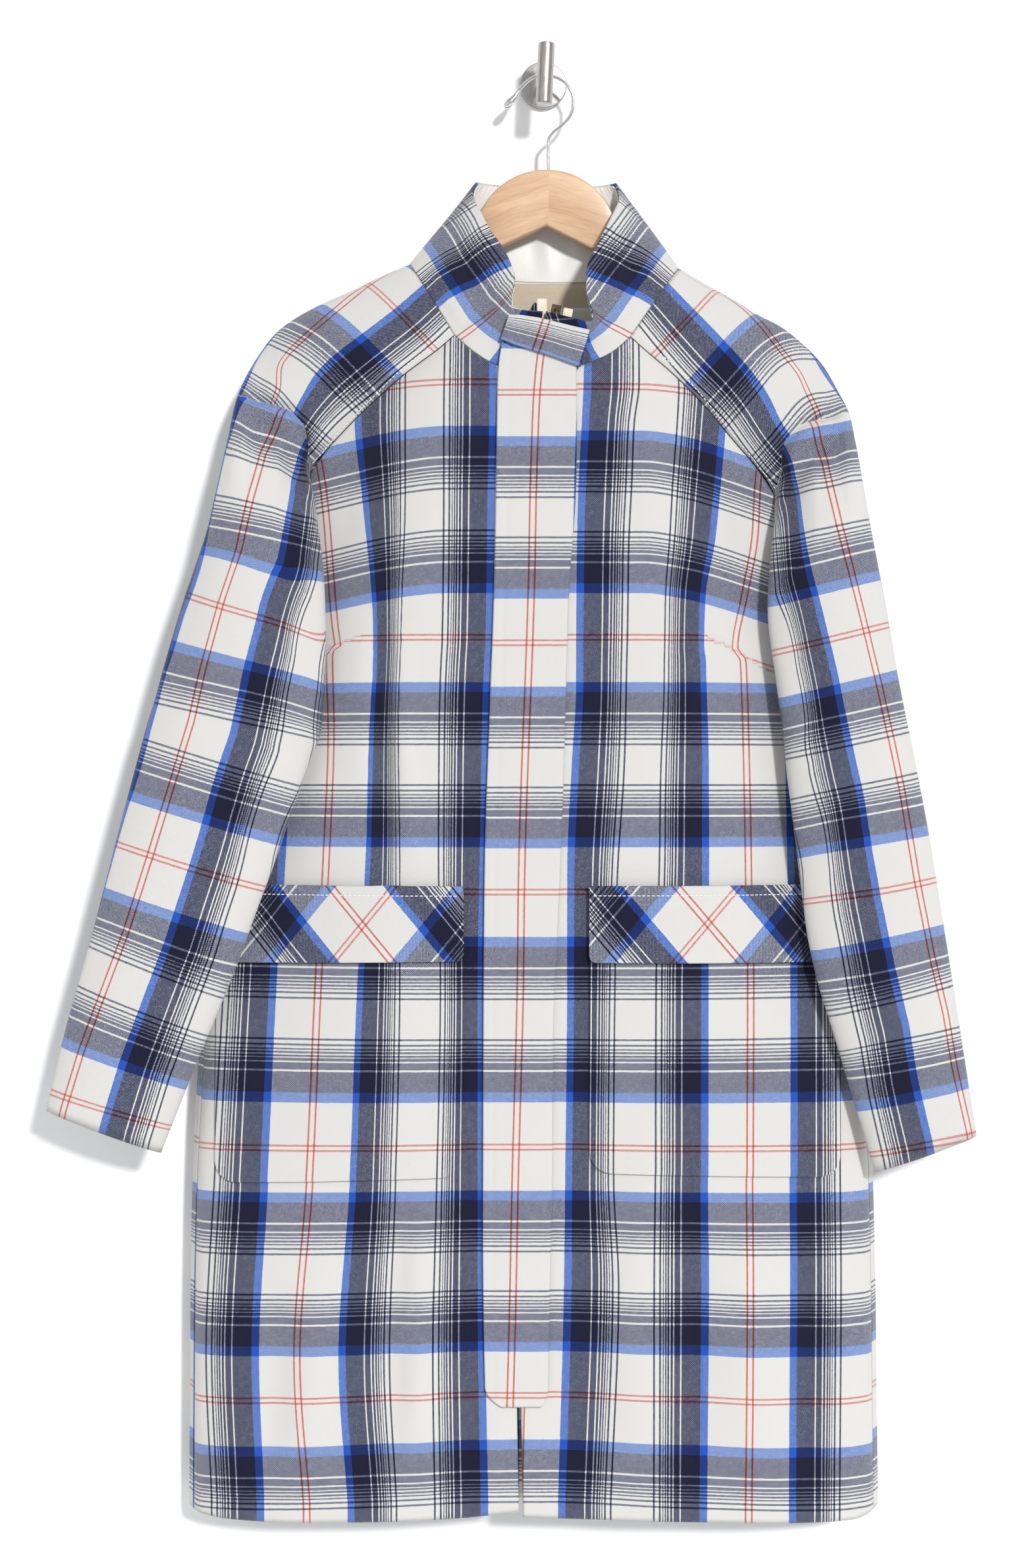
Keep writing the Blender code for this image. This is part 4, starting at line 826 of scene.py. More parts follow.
# Where the plaid's lines run.
# Places in the front view of the warp landmarks: the red pair, then the near edges of the blue,
# cream and far cream, far blue and next red. All in metres, as the columns' headings say.
frontWarp = {
    "marks": (-0.0784, -0.0334, 0.0, 0.0334, 0.0784, 0.1090, 0.1540, 0.1874),
    "right": [
        # z,      cream,   blue,    red,     blue,    cream,   cream,   blue,    red
        (-0.235, -0.2720, -0.2230, -0.1925, -0.1590, -0.1150, -0.0840, -0.0395, -0.0070),
        (-0.292, -0.2750, -0.2260, -0.1940, -0.1594, -0.1146, -0.0846, -0.0392, -0.0068),
        (-0.356, -0.2660, -0.2180, -0.1851, -0.1529, -0.1146, -0.0846, -0.0408, -0.0078),
        (-0.469, -0.2560, -0.2080, -0.1747, -0.1425, -0.1184, -0.0856, -0.0425, -0.0095),
        (-0.4860, -0.2540, -0.2060, -0.1725, -0.1424, -0.1186, -0.0860, -0.0430, -0.0098),
        (-0.4885, -0.2610, -0.2130, -0.1800, -0.1424, -0.1188, -0.0862, -0.0432, -0.0100),
        (-0.557, -0.2600, -0.2120, -0.1780, -0.1458, -0.1206, -0.0884, -0.0458, -0.0130),
        (-0.660, -0.2640, -0.2163, -0.1818, -0.1485, -0.1195, -0.0889, -0.0477, -0.0150),
        (-0.765, -0.2690, -0.2223, -0.1873, -0.1550, -0.1190, -0.0873, -0.0501, -0.0160),
        (-0.936, -0.2780, -0.2300, -0.1955, -0.1622, -0.1228, -0.0906, -0.0496, -0.0170),
        (-1.077, -0.2850, -0.2376, -0.2059, -0.1714, -0.1277, -0.0938, -0.0485, -0.0160),
        (-1.197, -0.2800, -0.2332, -0.1977, -0.1638, -0.1217, -0.0922, -0.0463, -0.0140),
    ],
    "left": [
        # z,      cream,   blue,    red,     blue,    cream,   cream,   blue,    red
        (-0.235, -0.0560, -0.0340, -0.0020, 0.0330, 0.0800, 0.1110, 0.1590, 0.1920),
        (-0.267, -0.0570, -0.0340, -0.0020, 0.0322, 0.0799, 0.1111, 0.1570, 0.1900),
        (-0.299, -0.0580, -0.0350, -0.0030, 0.0308, 0.0758, 0.1095, 0.1532, 0.1860),
        (-0.348, -0.0610, -0.0370, -0.0050, 0.0281, 0.0737, 0.1056, 0.1483, 0.1800),
        (-0.397, -0.0640, -0.0380, -0.0060, 0.0267, 0.0712, 0.1029, 0.1428, 0.1767),
        (-0.444, -0.0660, -0.0390, -0.0070, 0.0262, 0.0704, 0.0996, 0.1343, 0.1674),
        (-0.486, -0.0670, -0.0400, -0.0070, 0.0260, 0.0697, 0.0990, 0.1330, 0.1592),
        (-0.496, -0.0670, -0.0400, -0.0070, 0.0260, 0.0694, 0.0987, 0.1345, 0.1662),
        (-0.518, -0.0675, -0.0400, -0.0070, 0.0260, 0.0690, 0.0985, 0.1351, 0.1672),
        (-0.585, -0.0710, -0.0440, -0.0110, 0.0223, 0.0674, 0.0958, 0.1371, 0.1690),
        (-0.671, -0.0750, -0.0470, -0.0140, 0.0187, 0.0619, 0.0942, 0.1373, 0.1704),
        (-0.765, -0.0760, -0.0480, -0.0150, 0.0187, 0.0597, 0.0914, 0.1362, 0.1712),
        (-0.927, -0.0770, -0.0490, -0.0160, 0.0171, 0.0586, 0.0909, 0.1362, 0.1707),
        (-1.017, -0.0780, -0.0500, -0.0170, 0.0160, 0.0630, 0.0898, 0.1373, 0.1712),
        (-1.197, -0.0820, -0.0540, -0.0210, 0.0111, 0.0564, 0.0898, 0.1357, 0.1701),
    ],
}
frontWeft = [
    # z at the centre front, cloth
    (0.200, -0.4200),
    (-0.270, 0.0),
    (-0.478, 0.2100),
    (-0.689, 0.4200),
    (-0.9006, 0.6300),
    (-1.1067, 0.8400),
    (-1.320, 1.0500),
]
darts = {
    "right": {"tip": (-0.1485, -0.4711), "end": (-0.1840, -0.4875), "dip": 0.0150, "lift": 0.0040},
    "left": {"tip": (0.1237, -0.4673), "end": (0.1887, -0.5072), "dip": 0.0240, "lift": 0.0},
}


def weftAlong(table, z):
    # The cloth's own place down the table, straight between its rows.
    return np.interp(-z, -tableColumn(table, 0), tableColumn(table, 1))


def warpPlace(side, x, z):
    # The cloth's own place across the front, read between the landmarks at each height.
    marks = frontWarp["marks"]
    table = frontWarp[side]
    lines = [alongTable(table, 0, k + 1, z) for k in range(len(marks))]
    place = marks[0] + (x - lines[0])
    for k in range(len(marks) - 1):
        share = (x - lines[k]) / (lines[k + 1] - lines[k])
        place = np.where(x >= lines[k], marks[k] + (marks[k + 1] - marks[k]) * share, place)
    return np.where(x >= lines[-1], marks[-1] + (x - lines[-1]), place)


def weftPlace(side, x, z):
    # The cloth's own place down the front. Above the bust dart the lines dip towards the armhole.
    dart = darts[side]
    (tipX, tipZ), (endX, endZ) = dart["tip"], dart["end"]
    reach = np.clip((x - tipX) / (endX - tipX), 0, 2.0)
    seamZ = tipZ + (endZ - tipZ) * reach
    above = np.where(reach > 0, z > seamZ, z > tipZ)
    wide = np.clip((x * np.sign(endX) - 0.085) / (abs(endX) - 0.085), 0, 1.4)
    dip = dart["dip"] * wide**1.4 * softStep(-0.22, -0.34, z)
    low = np.clip((-0.80 - z) / 0.35, 0, 1) * 0.0085 * np.clip((np.abs(x + 0.02) - 0.03) / 0.2, 0, 1.2)
    height = z + np.where(above, dip, 0.0) + low - dart["lift"] * softStep(-0.44, -0.30, z)
    return weftAlong(frontWeft, height)


def frontCloth(side, x, z):
    # Both places together.
    return np.stack([warpPlace(side, x, z), weftPlace(side, x, z)], -1)


# The two fronts.
fronts = {
    "right": {"sign": -1, "raglan": raglanRight, "neck": neckRight, "hem": hemRight},
    "left": {"sign": 1, "raglan": raglanLeft, "neck": neckLeft, "hem": hemLeft},
    "seamRows": 46,
    "sideRows": 190,
    "columns": 96,
    "flat": (0.345, 1.04),
    "area": 0.285,
}


def sidePoints(sign, start, count):
    # The side seam: the body's half width at each height times the cosine of the wrap, reached
    # gently from the raglan's last point.
    z = np.linspace(start[1], coat["backHemZ"] + 0.0006, count + 1)[1:]
    left = alongTable(bodyTable, 0, 1, z)
    right = alongTable(bodyTable, 0, 2, z)
    half = (right - left) / 2 * math.cos(coat["sideWrap"])
    x = (left + right) / 2 + sign * half
    blend = np.clip((start[1] - z) / 0.10, 0, 1)
    return np.stack([start[0] + (x - start[0]) * blend**0.8, z], -1)


def raglanSeam(raglan, count):
    # The seam between front and sleeve, smooth through the raglan table.
    table = [(i,) + tuple(row) for i, row in enumerate(raglan)]
    at = np.linspace(0, len(raglan) - 1, count)
    return np.stack([alongTable(table, 0, 4, at), alongTable(table, 0, 5, at)], -1)


def frontPoints(side):
    # A patch between four edges: neck above, hem below, raglan and side seam outside, and the
    # centre line inside. Opposite edges are blended and the corners' own plane is taken off.
    part = fronts[side]
    sign = part["sign"]
    seam = raglanSeam(part["raglan"], fronts["seamRows"])
    outer = np.vstack([seam, sidePoints(sign, seam[-1], fronts["sideRows"])])
    u = closeEnds(fronts["columns"])
    neckX = tableColumn(part["neck"], 0)
    topX = neckX[0] + (neckX[-1] - neckX[0]) * u
    hemX = tableColumn(part["hem"], 0)
    lowX = hemX[0] + (hemX[-1] - hemX[0]) * u
    top = np.stack([topX, alongTable(part["neck"], 0, 1, topX)], -1)
    low = np.stack([lowX, alongTable(part["hem"], 0, 1, lowX)], -1)
    top[0] = outer[0]
    low[0] = outer[-1]
    drop = (outer[:, 1] - outer[0, 1]) / (outer[-1, 1] - outer[0, 1])
    z = top[-1, 1] + (low[-1, 1] - top[-1, 1]) * drop
    centre = np.stack([alongTable(bodyTable, 0, 4, z) + sign * 0.0015, z], -1)
    top[-1, 0] = centre[0, 0]
    low[-1, 0] = centre[-1, 0]
    v = drop[:, None, None]
    w = u[None, :, None]
    ends = top[None] * (1 - v) + low[None] * v
    sides = outer[:, None] * (1 - w) + centre[:, None] * w
    corners = (top[0] * (1 - w) + top[-1] * w) * (1 - v) + (low[0] * (1 - w) + low[-1] * w) * v
    xz = ends + sides - corners
    x = xz[..., 0]
    z = xz[..., 1]
    fade = softStep(0.0, 0.014, edgeDistance(np.stack([x, np.zeros_like(x), z], -1)))
    y = frontDepth(x, z) + (frontSurface(x, z) - frontDepth(x, z)) * np.where(z < -1.15, 1.0, fade)
    return np.stack([x, y, z], -1)


frontGrids = {}
for side, flip in (("right", 1), ("left", -1)):
    grid = frontPoints(side)
    frontGrids[side] = grid
    clothPiece(
        f"front_{side}_shell", grid, frontCloth(side, grid[..., 0], grid[..., 2]), coat["cloth"], flip,
        "plaid", f"front_{side}",
    )
print("fronts ready")

# Sleeves.
sleeves = {
    "raglanRows": 52,
    "lowerRows": 130,
    "frontColumns": 74,
    "backColumns": 60,
    "flat": (0.20, 0.74),
    "area": 0.098,
    "capStep": 0.010,       # rows across the cap's crease lie this close, in sections
    "capDeep": 0.0055,      # the crease under the shoulder, and the roll of cloth below it
    "capRoll": 0.0030,
    "lastSection": 22,
    "lineRounds": 6,        # how often the red line's direction is averaged with its neighbours
    "weftRun": 0.2100 / 0.2140,  # cloth for each metre down the red line
    # the crease's place across the sleeve, as a share, and its section number
    "capRight": [(0.0, 7.85), (0.25, 7.30), (0.49, 6.75), (0.62, 6.85), (0.85, 7.65), (1.0, 8.0)],
    "capLeft": [(0.0, 8.0), (0.25, 7.45), (0.45, 6.95), (0.60, 7.05), (0.76, 7.60), (1.0, 8.0)],
}
# Lines of the sleeves' red warp in the front view, and the height where the red weft crosses it.
sleevePlaid = {
    "right": {
        "line": [
            # x,      z
            (-0.1640, -0.1900),
            (-0.1990, -0.2460),
            (-0.2190, -0.2850),
            (-0.2338, -0.3236),
            (-0.2436, -0.3629),
            (-0.2529, -0.4066),
            (-0.2676, -0.4503),
            (-0.2824, -0.5044),
            (-0.2922, -0.5482),
            (-0.3048, -0.5897),
            (-0.3261, -0.6597),
            (-0.3463, -0.7225),
            (-0.3687, -0.7804),
            (-0.3840, -0.8203),
            (-0.4015, -0.8755),
        ],
        "weftAt": -0.4525,
    },
    "left": {
        "line": [
            # x,      z
            (0.1500, -0.1800),
            (0.1969, -0.2214),
            (0.2018, -0.2481),
            (0.2177, -0.2727),
            (0.2259, -0.2946),
            (0.2335, -0.3334),
            (0.2444, -0.3869),
            (0.2543, -0.4263),
            (0.2652, -0.4700),
            (0.2761, -0.5143),
            (0.2871, -0.5629),
            (0.2958, -0.6045),
            (0.3084, -0.6799),
            (0.3209, -0.7400),
            (0.3335, -0.7903),
            (0.3412, -0.8356),
            (0.3548, -0.8930),
        ],
        "weftAt": -0.4727,
    },
}


# Places on the raglan tops where two of the plaid's lines cross, and their place in the cloth.
capPlaid = {
    "right": [
        # x,      z,       across, down
        (-0.1490, -0.1767, 0.0, 0.0),
        (-0.1228, -0.2034, 0.0365, 0.0),
        (-0.0906, -0.2379, 0.0840, 0.0),
        (-0.1529, -0.2268, 0.0365, 0.0407),
        (-0.1835, -0.2513, 0.0365, 0.0800),
        (-0.2057, -0.2835, 0.0365, 0.1190),
        (-0.1990, -0.2218, 0.0, 0.0670),
        (-0.2219, -0.2474, 0.0, 0.1010),
        (-0.2235, -0.2702, 0.0, 0.1240),
        (-0.2330, -0.2240, -0.0365, 0.0850),
        (-0.1217, -0.2591, 0.0810, 0.0407),
        (-0.1423, -0.2758, 0.0800, 0.0670),
        (-0.1963, -0.3269, 0.0800, 0.1500),
    ],
    "left": [
        # x,      z,       across, down
        (0.1503, -0.1778, 0.0, 0.0),
        (0.1253, -0.2056, -0.0365, 0.0),
        (0.0902, -0.2435, -0.0850, 0.0),
        (0.1506, -0.2332, -0.0365, 0.0407),
        (0.1763, -0.2627, -0.0365, 0.0800),
        (0.1968, -0.2985, -0.0365, 0.1210),
        (0.1787, -0.2062, 0.0, 0.0407),
        (0.1993, -0.2346, 0.0, 0.0760),
        (0.2149, -0.2551, 0.0, 0.1020),
        (0.2249, -0.2780, 0.0, 0.1270),
        (0.2340, -0.2474, 0.0365, 0.0950),
        (0.1185, -0.2691, -0.0810, 0.0407),
        (0.1503, -0.2974, -0.0800, 0.0840),
        (0.1943, -0.3500, -0.0800, 0.1540),
    ],
}


def platePlace(anchors, x, z):
    # A thin plate bent through the anchors: r squared times log r from each, plus a plane.
    known = np.array(anchors)
    count = len(known)

    def bend(ax, az):
        r2 = (x1 - ax) ** 2 + (z1 - az) ** 2
        return 0.5 * r2 * np.log(np.maximum(r2, 1e-12))

    x1 = known[:, None, 0]
    z1 = known[:, None, 1]
    left = np.zeros((count + 3, count + 3))
    left[:count, :count] = bend(known[None, :, 0], known[None, :, 1])
    plane = np.stack([np.ones(count), known[:, 0], known[:, 1]], -1)
    left[:count, count:] = plane
    left[count:, :count] = plane.T
    right = np.zeros((count + 3, 2))
    right[:count] = known[:, 2:4]
    weight = np.linalg.solve(left, right)
    x1 = np.asarray(x)[..., None]
    z1 = np.asarray(z)[..., None]
    away = bend(known[:, 0], known[:, 1])
    return away @ weight[:count] + weight[count] + x1 * weight[count + 1] + z1 * weight[count + 2]


def sleeveSections(raglan, lower, rows):
    # One row for each section: outer, front inner and back inner points, bulges and seam angle.
    table = []
    for i, (ox, oy, oz, fx, fz, bx, by, bz, bulge) in enumerate(raglan):
        share = i / (len(raglan) - 1)
        fy = float(frontDepth(fx, fz))
        if i == len(raglan) - 1:
            bx, by, bz = fx, fy, fz
        turn = float(alongTable(shoulderSeam, 0, 1, share))
        table.append((i, ox, oy, oz, fx, fy, fz, bx, by, bz, bulge, bulge * (0.35 + 0.45 * share**4), turn))
    for k, (ox, oz, ix, iz, y, front, back) in enumerate(lower):
        table.append((len(raglan) + k, ox, y, oz, ix, y, iz, ix, y, iz, front, back, 0.10))
    return np.stack([alongTable(table, 0, k, rows) for k in range(1, 13)], -1)


def sleevePoints(sections, front):
    # Each section swings from its outer to its inner point on a half turn, bulged in between.
    u = np.linspace(0, 1, sections.shape[1])[None, :]
    turn = sections[..., 11]
    a = turn + (math.pi - turn) * u if front else turn + (-math.pi - turn) * u
    ahead = a >= 0
    a = np.abs(a)
    outer = sections[..., 0:3]
    goal = np.where(ahead[..., None], sections[..., 3:6], sections[..., 6:9])
    p = outer + (goal - outer) * ((1 - np.cos(a)) / 2)[..., None]
    reach = np.where(ahead, np.sin(a / 2), 1 - (1 - np.sin(a / 2)) ** 2)
    bulge = np.where(ahead, -sections[..., 9], sections[..., 10])
    p[..., 1] = outer[..., 1] + (goal[..., 1] - outer[..., 1]) * reach + bulge * np.sin(a)
    return p


def sleeveRows(cap, columns):
    # Section numbers of the grid's points: rows bend so that one of them follows the crease.
    crease = np.interp(np.linspace(0, 1, columns), [row[0] for row in cap], [row[1] for row in cap])
    upper = np.linspace(0, 1, sleeves["raglanRows"])[:, None] * crease
    lower = np.linspace(0, 1, sleeves["lowerRows"])[:, None]
    start = crease + sleeves["capStep"]
    return np.vstack([upper, start + (sleeves["lastSection"] - start) * lower])


def arcAlong(points):
    # The length along each row from its first point.
    steps = np.linalg.norm(np.diff(points, axis=1), axis=2)
    return np.hstack([np.zeros((len(points), 1)), np.cumsum(steps, axis=1)])


def sleeveCloth(points, side, sign):
    # Below the crease a point's place across the cloth is its arc distance from the red line
    # along its own row, and its place down is read along that line. Above it the anchors rule.
    plaidLine = sleevePlaid[side]
    line = np.array(plaidLine["line"])
    step = np.r_[0, np.cumsum(np.linalg.norm(np.diff(line, axis=0), axis=1))]
    x = points[..., 0]
    z = points[..., 2]
    arc = arcAlong(points)
    off = (x - np.interp(-z, -line[:, 1], line[:, 0])) * sign
    k = np.argmax(off[:, 1:] * off[:, :-1] <= 0, axis=1)
    n = np.arange(len(points))
    share = np.clip(off[n, k] / (off[n, k] - off[n, k + 1] + 1e-12), 0, 1)
    redArc = arc[n, k] + (arc[n, k + 1] - arc[n, k]) * share
    redX = x[n, k] + (x[n, k + 1] - x[n, k]) * share
    redZ = z[n, k] + (z[n, k + 1] - z[n, k]) * share
    down = np.interp(-redZ, -line[:, 1], step)
    cross = np.interp(-plaidLine["weftAt"], -line[:, 1], step)
    tangent = unit(np.stack([np.gradient(redX), np.gradient(redZ)], -1))
    for _ in range(sleeves["lineRounds"]):
        smooth = (tangent[:-2] + tangent[1:-1] + tangent[2:]) / 3
        tangent = unit(np.vstack([tangent[:1], smooth, tangent[-1:]]))
    lean = (x - redX[:, None]) * tangent[:, :1] + (z - redZ[:, None]) * tangent[:, 1:]
    weft = (down - cross)[:, None] * sleeves["weftRun"] + lean
    cloth = np.stack([(arc - redArc[:, None]) * -sign, weft], -1)
    top = slice(0, sleeves["raglanRows"])
    cloth[top] = platePlace(capPlaid[side], x[top], z[top])
    return cloth


sleeveCreases = {
    "right": [
        # row,  angle,  row,   angle,  width, rise,    bend
        (6.0, 0.20, 8.6, 1.75, 0.16, -0.0050, 0.10),
        (7.0, 0.15, 9.6, 1.10, 0.18, 0.0030, 0.08),
        (9.0, 2.60, 11.5, 1.70, 0.22, -0.0030, 0.10),
        (12.0, 2.90, 14.0, 1.90, 0.22, -0.0030, 0.06),
        (13.5, 2.95, 15.5, 2.10, 0.20, 0.0022, 0.05),
        (11.5, 0.25, 14.5, 0.90, 0.24, -0.0018, 0.10),
        (15.0, 2.80, 18.0, 1.80, 0.26, -0.0018, 0.12),
        (17.0, 0.30, 20.5, 0.80, 0.26, -0.0015, 0.10),
    ],
    "left": [
        # row,  angle,  row,   angle,  width, rise,    bend
        (6.2, 0.18, 8.8, 1.60, 0.16, -0.0050, 0.10),
        (7.2, 0.15, 9.8, 1.00, 0.18, 0.0030, 0.08),
        (9.2, 2.70, 11.8, 1.70, 0.22, -0.0028, 0.10),
        (12.2, 2.90, 14.4, 1.80, 0.22, -0.0030, 0.06),
        (13.8, 2.95, 16.0, 2.00, 0.20, 0.0022, 0.05),
        (11.0, 0.25, 14.2, 0.80, 0.24, -0.0018, 0.10),
        (15.5, 2.80, 18.5, 1.90, 0.26, -0.0018, 0.12),
        (17.5, 0.30, 20.8, 0.90, 0.26, -0.0015, 0.10),
    ],
}


def sleeveCreased(points, rows, side, flip, share):
    # Creases are placed by section number and angle from the outer edge, and fade at the edges.
    columns = points.shape[1]
    angle = np.linspace(0.1, math.pi, columns)[None, :] + np.zeros_like(rows)
    table = [(a * 0.12, b, c * 0.12, d, w, r, e) for a, b, c, d, w, r, e in sleeveCreases[side]]
    relief = creaseRelief(rows * 0.12, angle, table) * np.sin(angle) ** 0.5
    below = (rows - rows[sleeves["raglanRows"]]) * 0.022
    across = np.sin(np.linspace(0, 1, columns) ** 0.8 * math.pi * 0.96 + 0.04) ** 0.6
    relief -= sleeves["capDeep"] * np.exp(-((below / 0.0035) ** 2)) * across
    relief += sleeves["capRoll"] * np.exp(-(((below - 0.011) / 0.008) ** 2)) * across
    relief *= softStep(0.0, 0.02, edgeDistance(points)) * share
    return points + gridNormals(points, flip) * relief[..., None]


sleeveGrids = {}
sleeveSides = (("right", raglanRight, sleeveRight, -1), ("left", raglanLeft, sleeveLeft, 1))
for side, raglan, lower, sign in sleeveSides:
    cap = sleeves["cap" + side.capitalize()]
    rows = sleeveRows(cap, sleeves["frontColumns"])
    backRows = np.repeat(rows[:, :1], sleeves["backColumns"], axis=1)
    backRows += (rows[:, -1:] - rows[:, :1]) * np.linspace(0, 1, sleeves["backColumns"])[None, :]
    frontFlip = -sign
    frontGrid = sleevePoints(sleeveSections(raglan, lower, rows), True)
    backGrid = sleevePoints(sleeveSections(raglan, lower, backRows), False)
    uvFront = sleeveCloth(frontGrid, side, sign)
    frontGrid = sleeveCreased(frontGrid, rows, side, frontFlip, 1.0)
    backGrid = sleeveCreased(backGrid, backRows, side, -frontFlip, 0.5)
    drop = backGrid[..., 2] - backGrid[:, :1, 2]
    uvBack = np.stack([uvFront[:, :1, 0] + arcAlong(backGrid) * sign, uvFront[:, :1, 1] - drop], -1)
    clothPiece(
        f"sleeve_front_{side}_shell", frontGrid, uvFront, coat["cloth"], frontFlip,
        "plaid", f"sleeve_front_{side}",
    )
    clothPiece(
        f"sleeve_back_{side}_shell", backGrid, uvBack, coat["cloth"], -frontFlip,
        "plaid", f"sleeve_back_{side}",
    )
    sleeveGrids[side] = (frontGrid, backGrid)
print("sleeves ready")

# Back.
back = {
    "seamRows": 46,
    "sideRows": 170,
    "columns": 150,
    "flat": (0.66, 1.12),
    "area": 0.62,
    "creases": [
        # x 0,    z 0,    x 1,    z 1,    width, rise,   bend
        (-0.150, -0.600, -0.175, -1.200, 0.022, -0.0030, 0.008),
        (-0.090, -0.750, -0.105, -1.200, 0.025, -0.0024, -0.006),
        (0.010, -0.680, 0.004, -1.200, 0.024, -0.0030, 0.006),
        (0.100, -0.720, 0.118, -1.200, 0.024, -0.0026, -0.008),
        (0.170, -0.640, 0.190, -1.200, 0.022, -0.0028, 0.006),
        (-0.140, -0.330, -0.080, -0.450, 0.016, -0.0020, 0.008),
        (0.140, -0.340, 0.085, -0.460, 0.016, -0.0020, -0.008),
    ],
}


def backPoints():
    # Straight across between the raglan seams, then round both sides to the side seams.
    at = np.linspace(0, len(raglanRight) - 1, back["seamRows"])
    edges = []
    for raglan in (raglanRight, raglanLeft):
        rowsTable = [(i,) + tuple(row) for i, row in enumerate(raglan)]
        last = raglan[-1]
        endY = float(frontDepth(last[5], last[7]))
        rowsTable[-1] = rowsTable[-1][:7] + (endY,) + rowsTable[-1][8:]
        edges.append(np.stack([alongTable(rowsTable, 0, k, at) for k in (6, 7, 8)], -1))
    right, left = edges
    f = np.linspace(0, math.pi, back["columns"])[None, :]
    w = (1 - np.cos(f)) / 2
    upper = right[:, None] * (1 - w)[..., None] + left[:, None] * w[..., None]
    near = np.exp(-((np.minimum(w, 1 - w) / 0.050) ** 1.2))
    endY = np.where(w < 0.5, right[:, 1][:, None], left[:, 1][:, None])
    upper[..., 1] = -coat["backY"] + (endY + coat["backY"]) * near
    upper[..., 2] -= coat["backNeckDip"] * np.sin(f) * np.clip(1 - at, 0, 1)[:, None]
    startRight = (raglanRight[-1][3], raglanRight[-1][4])
    startLeft = (raglanLeft[-1][3], raglanLeft[-1][4])
    sideR = sidePoints(-1, startRight, back["sideRows"])
    sideL = sidePoints(1, startLeft, back["sideRows"])
    zMid = (sideR[:, 1] + sideL[:, 1]) / 2
    leftX = alongTable(bodyTable, 0, 1, zMid)[:, None]
    rightX = alongTable(bodyTable, 0, 2, zMid)[:, None]
    wrap = coat["sideWrap"]
    f = np.linspace(-wrap, math.pi + wrap, back["columns"])[None, :]
    share = (f + wrap) / (math.pi + 2 * wrap)
    z = sideR[:, 1:2] + (sideL[:, 1:2] - sideR[:, 1:2]) * share
    x = (leftX + rightX) / 2 - (rightX - leftX) / 2 * np.cos(f)
    u = np.abs(np.cos(np.clip(f, 0, math.pi)))
    behind = -coat["midY"] + (coat["midY"] - coat["backY"]) * (1 - u**6) ** 0.5
    y = np.where((f >= 0) & (f <= math.pi), behind, frontDepth(x, z))
    x[:, 0] = sideR[:, 0]
    x[:, -1] = sideL[:, 0]
    y[:, 0] = frontDepth(x[:, 0], z[:, 0])
    y[:, -1] = frontDepth(x[:, -1], z[:, -1])
    return np.vstack([upper, np.stack([x, y, z], -1)])


backGridPoints = backPoints()
relief = creaseRelief(backGridPoints[..., 0], backGridPoints[..., 2], back["creases"])
relief *= softStep(0.0, 0.02, edgeDistance(backGridPoints))
relief *= softStep(-0.028, -0.012, backGridPoints[..., 1])
backGridPoints[..., 1] += relief
arc = arcAlong(backGridPoints)
middleArc = arc[:, back["columns"] // 2][:, None]
backWarp = arc - middleArc + plaid["halfWarp"]
backUv = np.stack([backWarp, weftAlong(frontWeft, backGridPoints[..., 2])], -1)
clothPiece(
    "back_shell", backGridPoints, backUv, coat["cloth"], -1,
    "plaid", "back",
)
print("back ready")

# Collar.
collar = {
    "rows": 40,
    "flat": (0.56, 0.10),
    "area": 0.045,
    "redRight": 0.074,      # where the red warp crosses the neck seam, from the front centre
    "redLeft": 0.086,
    "lean": 0.022,          # how far the warp leans forward at the top edge
    "weftAtSeam": 0.0190,   # cloth place of the neck seam
    "creases": [
        # x 0,    z 0,    x 1,    z 1,    width,  rise,    bend
        (-0.078, -0.128, -0.038, -0.206, 0.0085, -0.0036, 0.006),
        (-0.096, -0.158, -0.062, -0.222, 0.0090, 0.0020, 0.003),
        (-0.060, -0.110, -0.030, -0.180, 0.0070, 0.0016, 0.003),
        (0.056, -0.120, 0.078, -0.205, 0.0085, -0.0026, -0.005),
        (0.092, -0.150, 0.066, -0.222, 0.0090, 0.0018, -0.003),
        (0.040, -0.190, 0.062, -0.226, 0.0060, -0.0014, 0.002),
    ],
    "satinFolds": [
        # x 0,    z 0,    x 1,    z 1,    width,  rise,    bend
        (0.002, -0.090, 0.006, -0.172, 0.0050, 0.0012, 0.002),
        (-0.012, -0.095, -0.006, -0.170, 0.0060, -0.0009, 0.001),
        (0.020, -0.092, 0.016, -0.172, 0.0070, -0.0009, -0.002),
        (0.034, -0.095, 0.030, -0.170, 0.0060, 0.0008, 0.001),
        (-0.032, -0.095, -0.026, -0.170, 0.0080, 0.0008, 0.002),
    ],
    "columns": 260,
    "liningIn": 0.0015,     # the satin's edge lies this far inside the cloth's, and at the seam
    "liningInSeam": 0.0030,
    "liningDrop": 0.0100,   # how far the satin runs on below the back neck seam
    "gather": 0.0005,       # the satin's ripples below its top edge: depth, pitch and reach
    "gatherPitch": 0.0065,
    "gatherReach": 0.012,
}


def collarSeam():
    # The neck seam, from the centre front round the back: the first rows of the seven panels.
    parts = [
        frontGrids["right"][0][::-1],
        sleeveGrids["right"][0][0][::-1][1:],
        sleeveGrids["right"][1][0][1:],
        backGridPoints[0][1:],
        sleeveGrids["left"][1][0][::-1][1:],
        sleeveGrids["left"][0][0][1:],
        frontGrids["left"][0][1:],
    ]
    seam = np.vstack(parts)
    length = np.r_[0, np.cumsum(np.linalg.norm(np.diff(seam, axis=0), axis=1))]
    keep = np.r_[True, np.diff(length) > 1e-5]
    return seam[keep], length[keep]


